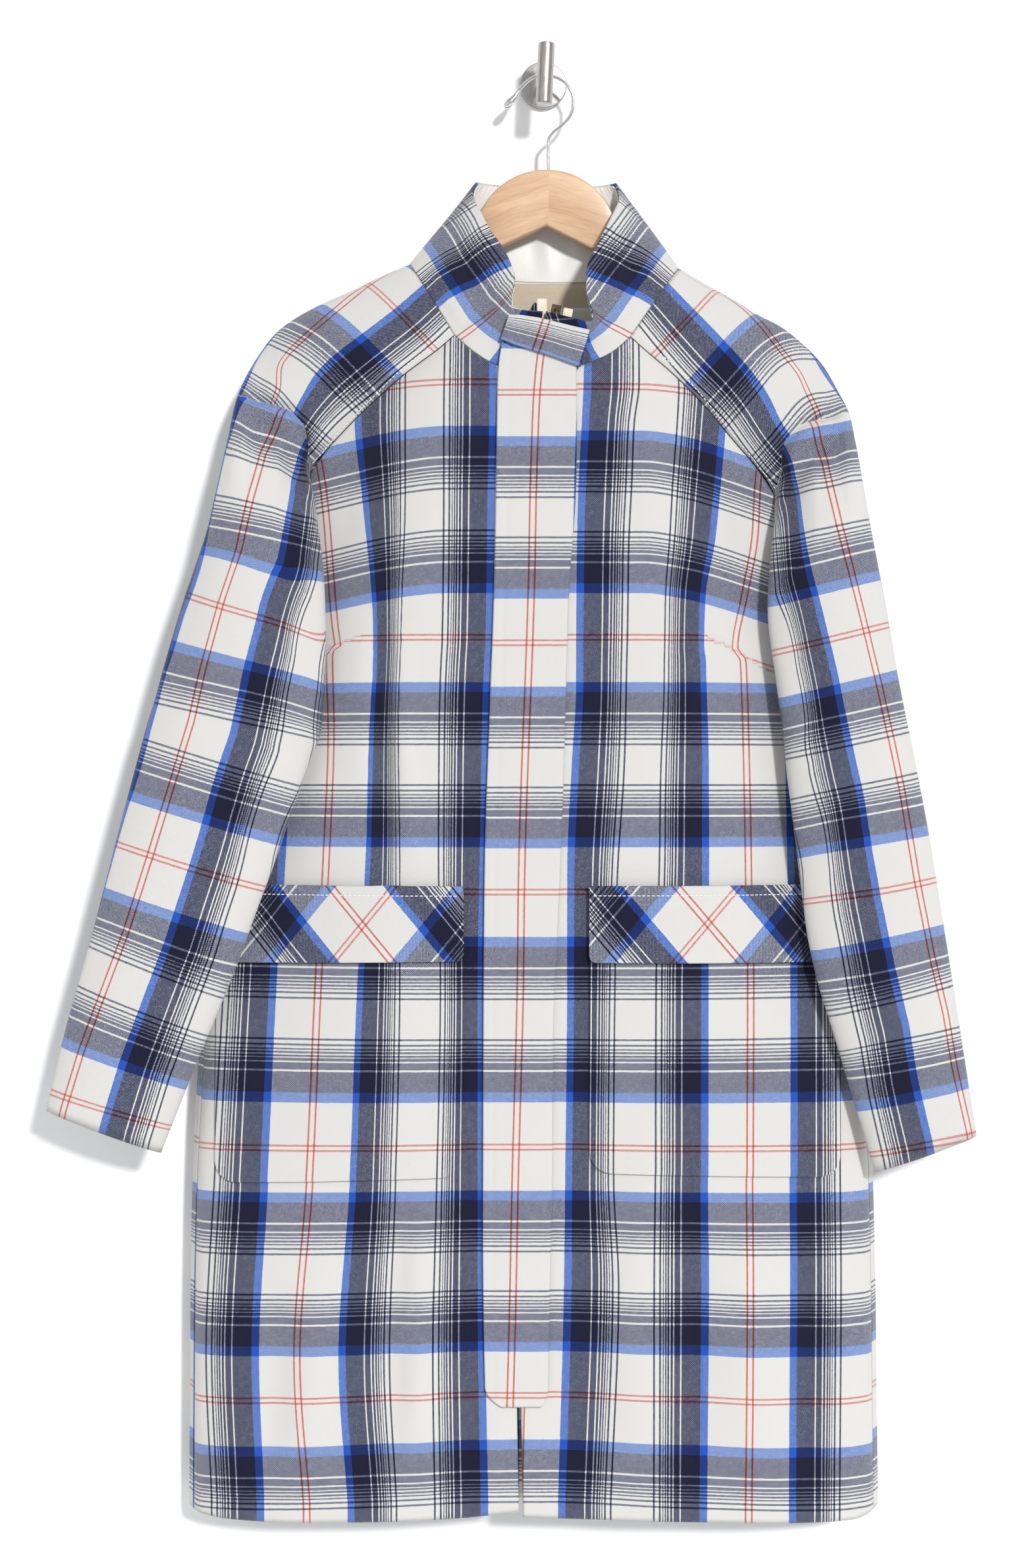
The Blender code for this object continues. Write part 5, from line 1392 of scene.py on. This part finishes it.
def collarPoints():
    # Straight from the top edge to the neck seam, swelled outwards by a sine in between.
    seam, length = collarSeam()
    at = np.linspace(0, length[-1], collar["columns"])
    seam = np.stack([np.interp(at, length, seam[:, k]) for k in range(3)], -1)
    share = at / length[-1]
    top = np.stack([alongTable(collarTop, 0, k, share) for k in (1, 2, 3)], -1)
    v = np.linspace(0, 1, collar["rows"])[:, None, None]
    p = top[None] * (1 - v) + seam[None] * v
    radial = unit(p[..., :2] - np.array([0.0, -0.045]))
    swell = np.clip((np.minimum(share, 1 - share) - 0.07) / 0.08, 0, 1) * coat["collarSwell"]
    p[..., :2] += radial * (swell[None, :] * np.sin(math.pi * v[..., 0]))[..., None]
    return p, at, share


collarGrid, seamArc, seamShare = collarPoints()
relief = creaseRelief(collarGrid[..., 0], collarGrid[..., 2], collar["creases"])
relief *= softStep(-0.034, -0.052, collarGrid[..., 1]) * softStep(0.0, 0.012, edgeDistance(collarGrid))
collarGrid = collarGrid + gridNormals(collarGrid, -1) * relief[..., None]
heightUp = np.linalg.norm(collarGrid - collarGrid[-1:], axis=-1)
total = seamArc[-1]
around = np.where(seamShare < 0.5, seamArc - collar["redRight"], total - seamArc - collar["redLeft"])
upShare = np.linspace(1, 0, collar["rows"])[:, None]
front = softStep(0.0, 0.08, np.abs(seamShare - 0.5))
around = around[None, :] + collar["lean"] * upShare * front[None, :]
collarUv = np.stack([around, collar["weftAtSeam"] + heightUp], -1)
clothPiece(
    "collar_outer_shell", collarGrid, collarUv, coat["cloth"], -1,
    "plaid", "collar_outer",
)
lining = collarGrid.copy()
lining[0] += unit(collarGrid[1] - collarGrid[0]) * collar["liningIn"]
lining[-1] += unit(collarGrid[-2] - collarGrid[-1]) * collar["liningInSeam"]
lining[:, 0] += unit(lining[:, 1] - lining[:, 0]) * collar["liningIn"]
lining[:, -1] += unit(lining[:, -2] - lining[:, -1]) * collar["liningIn"]
collarNormal = gridNormals(collarGrid, -1)
fromTop = heightUp.max(axis=0) - heightUp
ripple = collar["gather"] * np.sin(seamArc * 2 * math.pi / collar["gatherPitch"])
gather = ripple * np.exp(-(fromTop / collar["gatherReach"]) ** 2)
lining = lining - collarNormal * (coat["cloth"] + coat["looseGap"] - gather)[..., None]
behind = softStep(0.27, 0.34, np.minimum(seamShare, 1 - seamShare))
fall = np.linspace(0, 1, collar["rows"])[:, None] ** 6 * behind[None, :]
lining[..., 2] -= collar["liningDrop"] * fall
lining[..., 1] -= coat["satin"] * fall
satinRelief = creaseRelief(lining[..., 0], lining[..., 2], collar["satinFolds"])
lining[..., 1] -= satinRelief * behind[None, :] * (1 - fall)
clothPiece(
    "collar_lining_shell", lining, collarUv, coat["satin"], -1,
    "satin", "collar_lining", roll=0.0002,
)
print("collar ready")

# Pieces that lie on the fronts.
layers = {
    # left, right, top, and the lower edge's height at the left and at the right
    "pocketRight": (-0.2746, -0.0694, -0.7000, -0.9330, -0.9262),
    "pocketLeft": (0.0376, 0.2470, -0.7000, -0.9225, -0.9280),
    "flapRight": (-0.2735, -0.0670, -0.6840, -0.7500, -0.7465),
    "flapLeft": (0.0372, 0.2445, -0.6838, -0.7478, -0.7490),
    "pocketRound": 0.018,
    "flapRound": 0.006,
    "placketEnd": -1.1170,
}


def placketPoints():
    # A strip between its two edges, rounded at its end, whose top edge slopes to the left.
    z = np.linspace(placketTable[0][0], placketTable[-1][0], 200)
    left = alongTable(placketTable, 0, 1, z)
    right = alongTable(placketTable, 0, 2, z)
    end = np.linspace(0, 1, 10)[1:]
    left = np.r_[left, left[-1] + 0.014 * end**2]
    right = np.r_[right, right[-1] - 0.006 * end**2]
    z = np.r_[z, z[-1] + (layers["placketEnd"] - z[-1]) * end]
    u = closeEnds(30, 0.0012, 0.0035, 0.05)
    x = left[:, None] + (right - left)[:, None] * u
    tilt = np.where(z > -0.26, (z + 0.26) / 0.027, 0)[:, None] * 0.010 * u
    z = z[:, None] + np.zeros_like(x) - tilt
    press = -0.0005 * np.exp(-(((u - 0.14) / 0.02) ** 2))  # the folded edge's pressed line
    return x, z, overFront(x, z, coat["layerGap"] + coat["double"] + press[None, :] + np.zeros_like(x))


placketRed = [
    # z,      x
    (-0.2300, -0.0010),
    (-0.2560, -0.0045),
    (-0.3318, -0.0085),
    (-0.4250, -0.0105),
    (-0.6820, -0.0190),
    (-0.7700, -0.0200),
    (-0.9220, -0.0240),
    (-1.0480, -0.0266),
    (-1.1200, -0.0285),
]
placketWeft = [
    # z,      cloth
    (-0.0670, -0.2100),
    (-0.2755, 0.0),
    (-0.4826, 0.2100),
    (-0.6890, 0.4200),
    (-0.9006, 0.6300),
    (-1.1067, 0.8400),
    (-1.3200, 1.0500),
]
x, z, grid = placketPoints()
red = alongTable(placketRed, 0, 1, z)
uv = np.stack([x - red, weftAlong(placketWeft, z)], -1)
clothPiece(
    "placket_shell", grid, uv, coat["double"], 1, "plaid",
    "placket",
)

tab = evenSteps(tabTable, 70)
v = closeEnds(26, 0.0010, 0.0030, 0.028)[:, None]
x = tab[:, 0] * (1 - v) + tab[:, 2] * v
z = tab[:, 1] * (1 - v) + tab[:, 3] * v
grid = overFront(x, z, np.full_like(x, coat["layerGap"] * 2 + coat["double"] * 2))
redX = 0.0018 - 0.0090 * v
uv = np.stack([(x - redX) * 0.95, 0.0960 - 0.0560 * v + np.zeros_like(x)], -1)
clothPiece(
    "collar_tab_shell", grid, uv, coat["double"], 1, "plaid",
    "collar_tab",
)


def patchPoints(spec, corner, cols, rows, out):
    # A patch on a front: straight top, lower corners drawn in by a quarter round.
    x0, x1, top, lowA, lowB = spec
    u = np.linspace(0, 1, cols)
    u = 0.5 - 0.5 * np.cos(math.pi * u) * (0.55 + 0.45 * np.abs(np.cos(math.pi * u)))
    u[0] = 0.0
    u[-1] = 1.0
    x = x0 + (x1 - x0) * u
    low = lowA + (lowB - lowA) * u
    edge = np.minimum(x - x0, x1 - x)
    short = np.clip(corner - edge, 0, corner)
    low = low + corner - np.sqrt(np.maximum(corner**2 - short**2, 0))
    v = closeEnds(rows, 0.0012, 0.0040, abs(lowA - top))[:, None]
    z = top * (1 - v) + low[None, :] * v
    x = x[None, :] + np.zeros_like(z)
    return x, z, overFront(x, z, np.full_like(x, out))


for side in ("right", "left"):
    name = "pocket" + side.capitalize()
    x, z, grid = patchPoints(layers[name], layers["pocketRound"], 90, 76, coat["layerGap"] + coat["cloth"])
    clothPiece(
        f"pocket_{side}_shell", grid, frontCloth(side, x, z), coat["cloth"], 1, "plaid",
        f"pocket_{side}",
    )

flaps = {
    # the crossing of the red lines, x and z, and their slope; the bias has stretched it past 45
    "right": {"centre": (-0.1501, -0.7170), "slope": 51.0},
    "left": {"centre": (0.1346, -0.7149), "slope": 50.0},
}
for side in ("right", "left"):
    name = "flap" + side.capitalize()
    out = coat["layerGap"] * 2 + coat["cloth"] + coat["double"]
    x, z, grid = patchPoints(layers[name], layers["flapRound"], 90, 40, out)
    centre = flaps[side]["centre"]
    slope = math.radians(flaps[side]["slope"])
    dx = x - centre[0]
    dz = z - centre[1]
    alongX = dx * math.sin(slope)
    alongZ = dz * math.cos(slope)
    uv = np.stack([alongX + alongZ, alongX - alongZ], -1)
    clothPiece(
        f"flap_{side}_shell", grid, uv, coat["double"], 1, "plaid",
        f"flap_{side}",
    )
print("layers ready")

# Inside the neck.
neckInside = {
    "gap": 0.0008,          # between the back's inside and the facing
    "shares": (0, 0.4, 1),  # rows down the facing, and its half width and height at them
    "facingHalf": (0.066, 0.074, 0.080),
    "facingLow": (-0.200, -0.250),
    "facingAbove": 0.006,   # how far it reaches above the dip of the back's neck
    "facingBow": 0.004,
    "bandHalf": (0.062, 0.066),
    "bandZ": (-0.1712, -0.2350),
    "bandX": 0.003,
    "bandBow": 0.0015,
    "bandGap": 0.0004,
    "smallX": (0.010, 0.044),
    "smallZ": (-0.192, -0.212),
    "smallThick": 0.0010,
    "smallGap": 0.0006,
    "guardX": (-0.0170, 0.042),  # its left edge from the centre line, and its width
    "guardZ": (-0.2165, -0.330),
    "guardTop": (0.0, 0.020, 0.008, -0.001, -0.003),  # its top edge's rises, from left to right
    "guardTopRows": 8.0,
    "guardDeep": 0.0058,    # from the fronts' layers to the guard
    "guardCloth": (0.073, -0.145),
}
inside = coat["backY"] + coat["cloth"] + neckInside["gap"]
u = np.linspace(-1, 1, 60)
v = np.linspace(0, 1, 30)[:, None]
shares = neckInside["shares"]
halfWidth = np.interp(v[:, 0], shares, neckInside["facingHalf"])[:, None]
x = u[None, :] * halfWidth
topZ = raglanRight[0][7] - coat["backNeckDip"] + neckInside["facingAbove"]
levels = np.interp(v[:, 0], shares, [topZ, *neckInside["facingLow"]])[:, None]
z = levels - neckInside["facingBow"] * (1 - u**2)[None, :]
facing = np.stack([x, np.full_like(x, -inside - coat["satin"]), z], -1)
uv = np.stack([x, -z], -1)
clothPiece(
    "neck_facing_shell", facing, uv, coat["satin"], 1, "satin",
    "neck_facing", roll=0.0002,
)
x = u[None, :] * np.interp(v[:, 0], [0, 1], neckInside["bandHalf"])[:, None] + neckInside["bandX"]
z = np.interp(v[:, 0], [0, 1], neckInside["bandZ"])[:, None] + neckInside["bandBow"] * u[None, :] ** 2
bandY = -inside - 2 * coat["satin"] - neckInside["bandGap"]
band = np.stack([x, np.full_like(x, bandY), z], -1)
clothPiece(
    "label_band_shell", band, np.stack([x, -z], -1), coat["satin"], 1, "label",
    "label_band", roll=0.0002,
)
x = np.linspace(*neckInside["smallX"], 12)[None, :] + np.zeros((8, 1))
z = np.linspace(*neckInside["smallZ"], 8)[:, None] + np.zeros((1, 12))
smallY = -inside - 3 * coat["satin"] - neckInside["smallGap"]
small = np.stack([x, np.full_like(x, smallY), z], -1)
clothPiece(
    "size_label_shell", small, np.stack([x, -z], -1), neckInside["smallThick"], 1, "whiteLabel",
    "size_label", roll=0.0001,
)
# The zip guard follows the fronts from behind, along their normal.
z = np.linspace(*neckInside["guardZ"], 40)
u = np.linspace(0, 1, 26)
guardLeft, guardWidth = neckInside["guardX"]
x = guardLeft + guardWidth * u[None, :] + alongTable(bodyTable, 0, 4, z)[:, None]
peak = np.interp(u, np.linspace(0, 1, 5), neckInside["guardTop"])
fading = np.clip(1 - np.arange(40) / neckInside["guardTopRows"], 0, 1)
z = z[:, None] + peak[None, :] * fading[:, None] + np.zeros_like(x)
depth = -(coat["cloth"] * 2 + coat["satin"] + neckInside["guardDeep"])
d = 0.0015
slopeX = (frontDepth(x + d, z) - frontDepth(x - d, z)) / (2 * d)
slopeZ = (frontDepth(x, z + d) - frontDepth(x, z - d)) / (2 * d)
away = unit(np.stack([slopeX, -np.ones_like(slopeX), slopeZ], -1))
guard = np.stack([x, frontDepth(x, z), z], -1) + away * (depth + coat["cloth"])
acrossCloth, downCloth = neckInside["guardCloth"]
guardUv = np.stack([x + acrossCloth, -z + downCloth], -1)
clothPiece(
    "zip_guard_shell", guard, guardUv, coat["cloth"], 1, "plaid",
    "zip_guard",
)
print("neck inside ready")

# Hanger and hook.
hanger = {
    "x": 0.0031,
    "y": -0.0260,
    "thick": 0.0110,
    "turn": math.radians(1.3),
    "pivotZ": -0.100,
    "round": 0.0026,
}
hangerTable = [
    # reach,  top,     bottom
    (0.0000, -0.0774, -0.1256),
    (0.0125, -0.0787, -0.1317),
    (0.0250, -0.0827, -0.1378),
    (0.0350, -0.0884, -0.1428),
    (0.0450, -0.0971, -0.1477),
    (0.0520, -0.1062, -0.1511),
    (0.0565, -0.1145, -0.1535),
    (0.0700, -0.1300, -0.1605),
    (0.0850, -0.1440, -0.1690),
    (0.1000, -0.1565, -0.1775),
    (0.1150, -0.1680, -0.1860),
    (0.1400, -0.1810, -0.2000),
    (0.1630, -0.1925, -0.2125),
    (0.1860, -0.2048, -0.2248),
    (0.1980, -0.2130, -0.2320),
    (0.2060, -0.2185, -0.2355),
    (0.2105, -0.2230, -0.2360),
    (0.2125, -0.2270, -0.2330),
]
wireTable = [
    # x,      z,       radius
    (0.0042, -0.0768, 0.0015),
    (0.0038, -0.0600, 0.0015),
    (0.0040, -0.0523, 0.0015),
    (0.0073, -0.0465, 0.0015),
    (0.0160, -0.0394, 0.0015),
    (0.0221, -0.0321, 0.0015),
    (0.0249, -0.0240, 0.0015),
    (0.0252, -0.0160, 0.0015),
    (0.0221, -0.0080, 0.0015),
    (0.0165, -0.0018, 0.0015),
    (0.0092, 0.0021, 0.0015),
    (0.0003, 0.0035, 0.0015),
    (-0.0076, 0.0018, 0.0015),
    (-0.0148, -0.0028, 0.0015),
    (-0.0204, -0.0089, 0.0017),
    (-0.0243, -0.0148, 0.0026),
    (-0.0285, -0.0195, 0.0037),
    (-0.0318, -0.0228, 0.0030),
    (-0.0332, -0.0242, 0.0012),
]


def tubeObject(name, rings, finishName, node):
    # Rings of points joined into a closed tube whose ends are closed by a fan round their middle.
    # Its volume, as the sum of the quads' triple products, tells whether it is inside out.
    rows, cols = rings.shape[:2]
    index = np.arange(rows * cols).reshape(rows, cols)
    after = np.roll(index, -1, axis=1)
    quads = np.stack([index[:-1], after[:-1], after[1:], index[1:]], -1).reshape(-1, 4)
    verts = np.vstack([rings.reshape(-1, 3), rings[0].mean(axis=0), rings[-1].mean(axis=0)])
    first = np.full(cols, rows * cols)
    caps = np.vstack([
        np.stack([after[0], index[0], first], -1),
        np.stack([index[-1], after[-1], first + 1], -1),
    ])
    mesh = bpy.data.meshes.new(name)
    mesh.from_pydata(verts.tolist(), [], quads.tolist() + caps.tolist())
    ring = rings.reshape(-1, 3)
    a, b, c, d = (ring[quads[:, k]] for k in range(4))
    volume = float((np.cross(a, b) * c).sum() + (np.cross(a, c) * d).sum())
    if volume < 0:
        mesh.flip_normals()
    mesh.shade_smooth()
    mesh.set_sharp_from_angle(angle=math.radians(40))
    obj = placed(name, mesh, finish[finishName])
    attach(obj, "root")
    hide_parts(node)


def hangerRings():
    # A rounded rectangle carried along the hanger, between its top and bottom edges.
    half = np.r_[np.linspace(0, 0.012, 7), np.linspace(0.014, 0.2125, 110)]
    reach = np.r_[-half[:0:-1], half]
    top = alongTable(hangerTable, 0, 1, np.abs(reach))
    low = np.interp(np.abs(reach), tableColumn(hangerTable, 0), tableColumn(hangerTable, 2))
    corner = np.minimum(hanger["round"], (top - low) * 0.4)[:, None]
    a = np.linspace(0, math.pi / 2, 6)
    quarter = np.stack([np.cos(a), np.sin(a)], -1)
    deep = hanger["thick"] / 2
    soft = hanger["round"]
    ySide = deep - soft + soft * quarter[:, 0]
    y = np.r_[ySide, -ySide[::-1], -ySide, ySide[::-1]]
    lift = 1 - quarter[:, 1]
    z = np.hstack([
        top[:, None] - corner * lift, top[:, None] - corner * lift[::-1],
        low[:, None] + corner * lift, low[:, None] + corner * lift[::-1],
    ])
    x = reach[:, None] + np.zeros_like(z)
    y = y[None, :] + np.zeros_like(z)
    turn = hanger["turn"]
    dz = z - hanger["pivotZ"]
    return np.stack([
        hanger["x"] + x * math.cos(turn) + dz * math.sin(turn),
        hanger["y"] + y,
        hanger["pivotZ"] - x * math.sin(turn) + dz * math.cos(turn),
    ], -1)


tubeObject("hanger_wood_finished", hangerRings(), "wood", "hanger_wood")


def wireRings():
    # A circle carried along the wire's centre line, slightly flatter from front to back.
    path = np.array(wireTable)
    length = np.r_[0, np.cumsum(np.linalg.norm(np.diff(path[:, :2], axis=0), axis=1))]
    table = [(s, *row) for s, row in zip(length, wireTable)]
    at = np.linspace(0, length[-1], 180)
    x = alongTable(table, 0, 1, at)
    z = alongTable(table, 0, 2, at)
    r = alongTable(table, 0, 3, at)
    tangent = unit(np.stack([np.gradient(x), np.gradient(z)], -1))
    a = np.linspace(0, 2 * math.pi, 25)[:-1][None, :]
    c = r[:, None] * np.cos(a)
    return np.stack([
        x[:, None] - tangent[:, 1:] * c,
        hanger["y"] + 0.85 * r[:, None] * np.sin(a),
        z[:, None] + tangent[:, :1] * c,
    ], -1)


tubeObject("hanger_wire_finished", wireRings(), "chrome", "hanger_wire")

hook = {
    "plateRadius": 0.0200,
    "plateThick": 0.0050,
    "barRadius": 0.0070,
    "barX": 0.0001,
    "barY": -0.0500,
    "barTop": 0.0251,
    "barLow": -0.0260,
    "barLean": math.radians(2.5),
    "edge": 0.0010,
}


def latheRings(profile, centre, axis, sides=72):
    # Circles of the profile's radii, set along the axis.
    axis = unit(np.array(axis, dtype=float))
    side = unit(np.cross(axis, np.array([0.3, 0.2, 0.9])))
    other = np.cross(axis, side)
    a = np.linspace(0, 2 * math.pi, sides + 1)[:-1]
    ringPlane = np.cos(a)[:, None] * side + np.sin(a)[:, None] * other
    profile = np.array(profile)
    return np.array(centre) + profile[:, 0, None, None] * axis + profile[:, 1, None, None] * ringPlane[None]


def roundedEdge(height, radius, edge, sign):
    # A quarter round at the profile's end, from the radius inwards.
    a = np.linspace(0, math.pi / 2, 5)
    return [(height - sign * edge * (1 - math.sin(t)), radius - edge * (1 - math.cos(t))) for t in a]


plateEdge = roundedEdge(hook["plateThick"], hook["plateRadius"], hook["edge"], 1)
plateRings = latheRings([(0.0, hook["plateRadius"])] + plateEdge, (0, 0, 0), (0, -1, 0))
tubeObject("wall_plate_finished", plateRings, "steel", "wall_plate")
barLowEdge = roundedEdge(0.0, hook["barRadius"], hook["edge"], -1)[::-1]
barTopEdge = roundedEdge(hook["barTop"] - hook["barLow"], hook["barRadius"], hook["edge"], 1)
barStart = (hook["barX"], hook["barY"], hook["barLow"])
barAxis = (math.sin(hook["barLean"]), 0, math.cos(hook["barLean"]))
tubeObject("wall_bar_finished", latheRings(barLowEdge + barTopEdge, barStart, barAxis), "steel", "wall_bar")
# Solids that are shown as they are.
shownSolids = {
    "wall_stem": "steel",
    "zip_stop_right": "zipPlastic",
    "zip_stop_left": "zipPlastic",
    "zip_slider": "zipMetal",
}
for node, key in shownSolids.items():
    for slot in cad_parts[node].material_slots:
        slot.material = finish[key]
print("hanger and hook ready")


# Sewing.
sewing = {
    "length": 0.0030,
    "gap": 0.0010,
    "radius": 0.00042,
    "sink": 0.00006,
    "fromSeam": 0.0062,     # the raglan's topstitch
    "belowFlapTop": 0.0082,
    "flapInset": 0.003,
}


def stitchRow(name, path, normals):
    # Each stitch is a short rounded bar: six rings of six points along the path, whose radius
    # is an ellipse of the place along the stitch.
    path = np.asarray(path, dtype=float)
    length = np.r_[0, np.cumsum(np.linalg.norm(np.diff(path, axis=0), axis=1))]
    pitch = sewing["length"] + sewing["gap"]
    count = max(int(length[-1] / pitch), 1)
    starts = np.arange(count) * pitch + sewing["gap"] / 2
    along = np.linspace(0, 1, 6)
    at = starts[:, None] + along[None, :] * sewing["length"]
    p = np.stack([np.interp(at, length, path[:, k]) for k in range(3)], -1)
    n = unit(np.stack([np.interp(at, length, normals[:, k]) for k in range(3)], -1))
    tangent = unit(np.gradient(p, axis=1))
    side = unit(np.cross(tangent, n))
    radius = sewing["radius"] * np.sqrt(np.maximum(1 - (2 * along - 1) ** 2, 0.08))
    p = p + n * (radius - sewing["sink"])[None, :, None]
    a = np.linspace(0, 2 * math.pi, 7)[:-1]
    ring = np.cos(a)[None, None, :, None] * side[:, :, None] + np.sin(a)[None, None, :, None] * n[:, :, None]
    verts = p[:, :, None] + ring * radius[None, :, None, None]
    rows, cols = 6, 6
    index = np.arange(rows * cols).reshape(rows, cols)
    after = np.roll(index, -1, axis=1)
    quads = np.stack([index[:-1], index[1:], after[1:], after[:-1]], -1).reshape(-1, 4)
    base = (np.arange(count) * rows * cols)[:, None, None]
    allQuads = (quads[None] + base).reshape(-1, 4)
    caps = np.vstack([index[0][None, ::-1], index[-1][None, :]])
    allCaps = (caps[None] + base).reshape(-1, 6)
    mesh = bpy.data.meshes.new(name)
    faces = allQuads[:, ::-1].tolist() + allCaps[:, ::-1].tolist()
    mesh.from_pydata(verts.reshape(-1, 3).tolist(), [], faces)
    mesh.shade_smooth()
    obj = placed(name, mesh, finish["thread"])
    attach(obj, "root")


def stitchOnFront(name, x, z, out):
    # A row of stitches over the front, standing along its normal.
    p = overFront(x, z, np.full_like(x, out))
    higher = overFront(x, z, np.full_like(x, out + 0.001))
    stitchRow(name, p, unit(higher - p))


for side in ("right", "left"):
    seamRows = sleeves["raglanRows"]
    sleeveGrid = sleeveGrids[side][0][:seamRows]
    flip = 1 if side == "right" else -1
    reach = arcAlong(sleeveGrid[:, ::-1])
    column = (reach < sewing["fromSeam"]).sum(axis=1)
    n = np.arange(seamRows)
    near = sleeveGrid[n, -column]
    far = sleeveGrid[n, -column - 1]
    share = (sewing["fromSeam"] - reach[n, column - 1]) / (reach[n, column] - reach[n, column - 1])
    path = near + (far - near) * share[:, None]
    stitchRow(f"raglan_topstitch_{side}", path, gridNormals(sleeveGrid, flip)[n, -column - 1])
    flapName = "flap" + side.capitalize()
    x0, x1, top = layers[flapName][:3]
    x = np.linspace(x0 + sewing["flapInset"], x1 - sewing["flapInset"], 80)
    z = np.full_like(x, top - sewing["belowFlapTop"])
    out = coat["layerGap"] * 2 + coat["cloth"] + coat["double"]
    stitchOnFront(f"flap_stitch_{side}", x, z, out)
print("sewing ready")

# Wall, floor, light, camera.
stageSizes = {
    "wallY": 0.0012,
    "floorZ": -1.60,
    "half": 4.0,
}


def stagePlane(name, corners, mat):
    # Four corners as one face.
    mesh = bpy.data.meshes.new(name)
    mesh.from_pydata(corners, [], [(0, 1, 2, 3)])
    placed(name, mesh, mat)


def plasterMaterial(name, dark, light):
    # Painted plaster; its back is clear, so that the coat can be seen from behind the wall.
    mat, tree, shader = newMaterial(name)
    place = addNode(tree, "ShaderNodeTexCoord", (-700, 0))
    grain = noiseNode(tree, (-500, 0), place.outputs["Object"], 300, 4.0)
    tintBetween(tree, (-280, 100), grain.outputs["Fac"], dark, light)
    shader.inputs["Roughness"].default_value = 0.9
    shader.inputs["Specular IOR Level"].default_value = 0.1
    clear = addNode(tree, "ShaderNodeBsdfTransparent", (600, -300))
    facing = addNode(tree, "ShaderNodeNewGeometry", (600, 300))
    choose = addNode(tree, "ShaderNodeMixShader", (900, 100))
    tree.links.new(facing.outputs["Backfacing"], choose.inputs[0])
    tree.links.new(shader.outputs[0], choose.inputs[1])
    tree.links.new(clear.outputs[0], choose.inputs[2])
    output = tree.nodes["Material Output"]
    output.location = (1100, 0)
    tree.links.new(choose.outputs[0], output.inputs["Surface"])
    return mat


plaster = plasterMaterial("white plaster", (0.93, 0.93, 0.93), (0.95, 0.95, 0.95))
half = stageSizes["half"]
wallY = stageSizes["wallY"]
floorZ = stageSizes["floorZ"]
lowLeft = (-half, wallY, floorZ)
lowRight = (half, wallY, floorZ)
stagePlane("wall", [lowLeft, lowRight, (half, wallY, half), (-half, wallY, half)], plaster)
stagePlane("floor", [(-half, -half, floorZ), (half, -half, floorZ), lowRight, lowLeft], plaster)

lights = {
    "key": {"energy": 2.55, "angle": math.radians(6.0), "from": (0.36, -1.0, 0.34)},
    "fill": {"energy": 7.0, "size": 2.6, "place": (-1.8, -2.6, 0.3)},
    "world": 0.50,
}
keyData = bpy.data.lights.new("key", "SUN")
keyData.energy = lights["key"]["energy"]
keyData.angle = lights["key"]["angle"]
keyLight = bpy.data.objects.new("key", keyData)
bpy.context.scene.collection.objects.link(keyLight)
fx, fy, fz = lights["key"]["from"]
keyLight.rotation_euler = (math.atan2(math.hypot(fx, fy), fz), 0, math.atan2(fx, -fy))
fillData = bpy.data.lights.new("fill", "AREA")
fillData.energy = lights["fill"]["energy"]
fillData.size = lights["fill"]["size"]
fillLight = bpy.data.objects.new("fill", fillData)
bpy.context.scene.collection.objects.link(fillLight)
fillLight.location = lights["fill"]["place"]
fx, fy, fz = fillLight.location.x, fillLight.location.y, fillLight.location.z + 0.6
fillLight.rotation_euler = (math.atan2(math.hypot(fx, fy), fz), 0, math.atan2(fx, -fy))
world = bpy.data.worlds.new("studio")
bpy.context.scene.world = world
world.use_nodes = True
world.node_tree.nodes["Background"].inputs[0].default_value = (0.96, 0.98, 1.0, 1)
world.node_tree.nodes["Background"].inputs[1].default_value = lights["world"]
bpy.context.scene.view_settings.view_transform = "Standard"

view = {"x": -0.0277, "y": -2.6, "z": -0.5995, "focal": 4593, "height": 2380}
cameraData = bpy.data.cameras.new("camera")
cameraData.sensor_width = 36.0
cameraData.lens = view["focal"] / view["height"] * 36.0
camera = bpy.data.objects.new("camera", cameraData)
bpy.context.scene.collection.objects.link(camera)
camera.location = (view["x"], view["y"], view["z"])
camera.rotation_euler = (math.pi / 2, 0, 0)
bpy.context.scene.camera = camera
print("stage, light and camera ready")
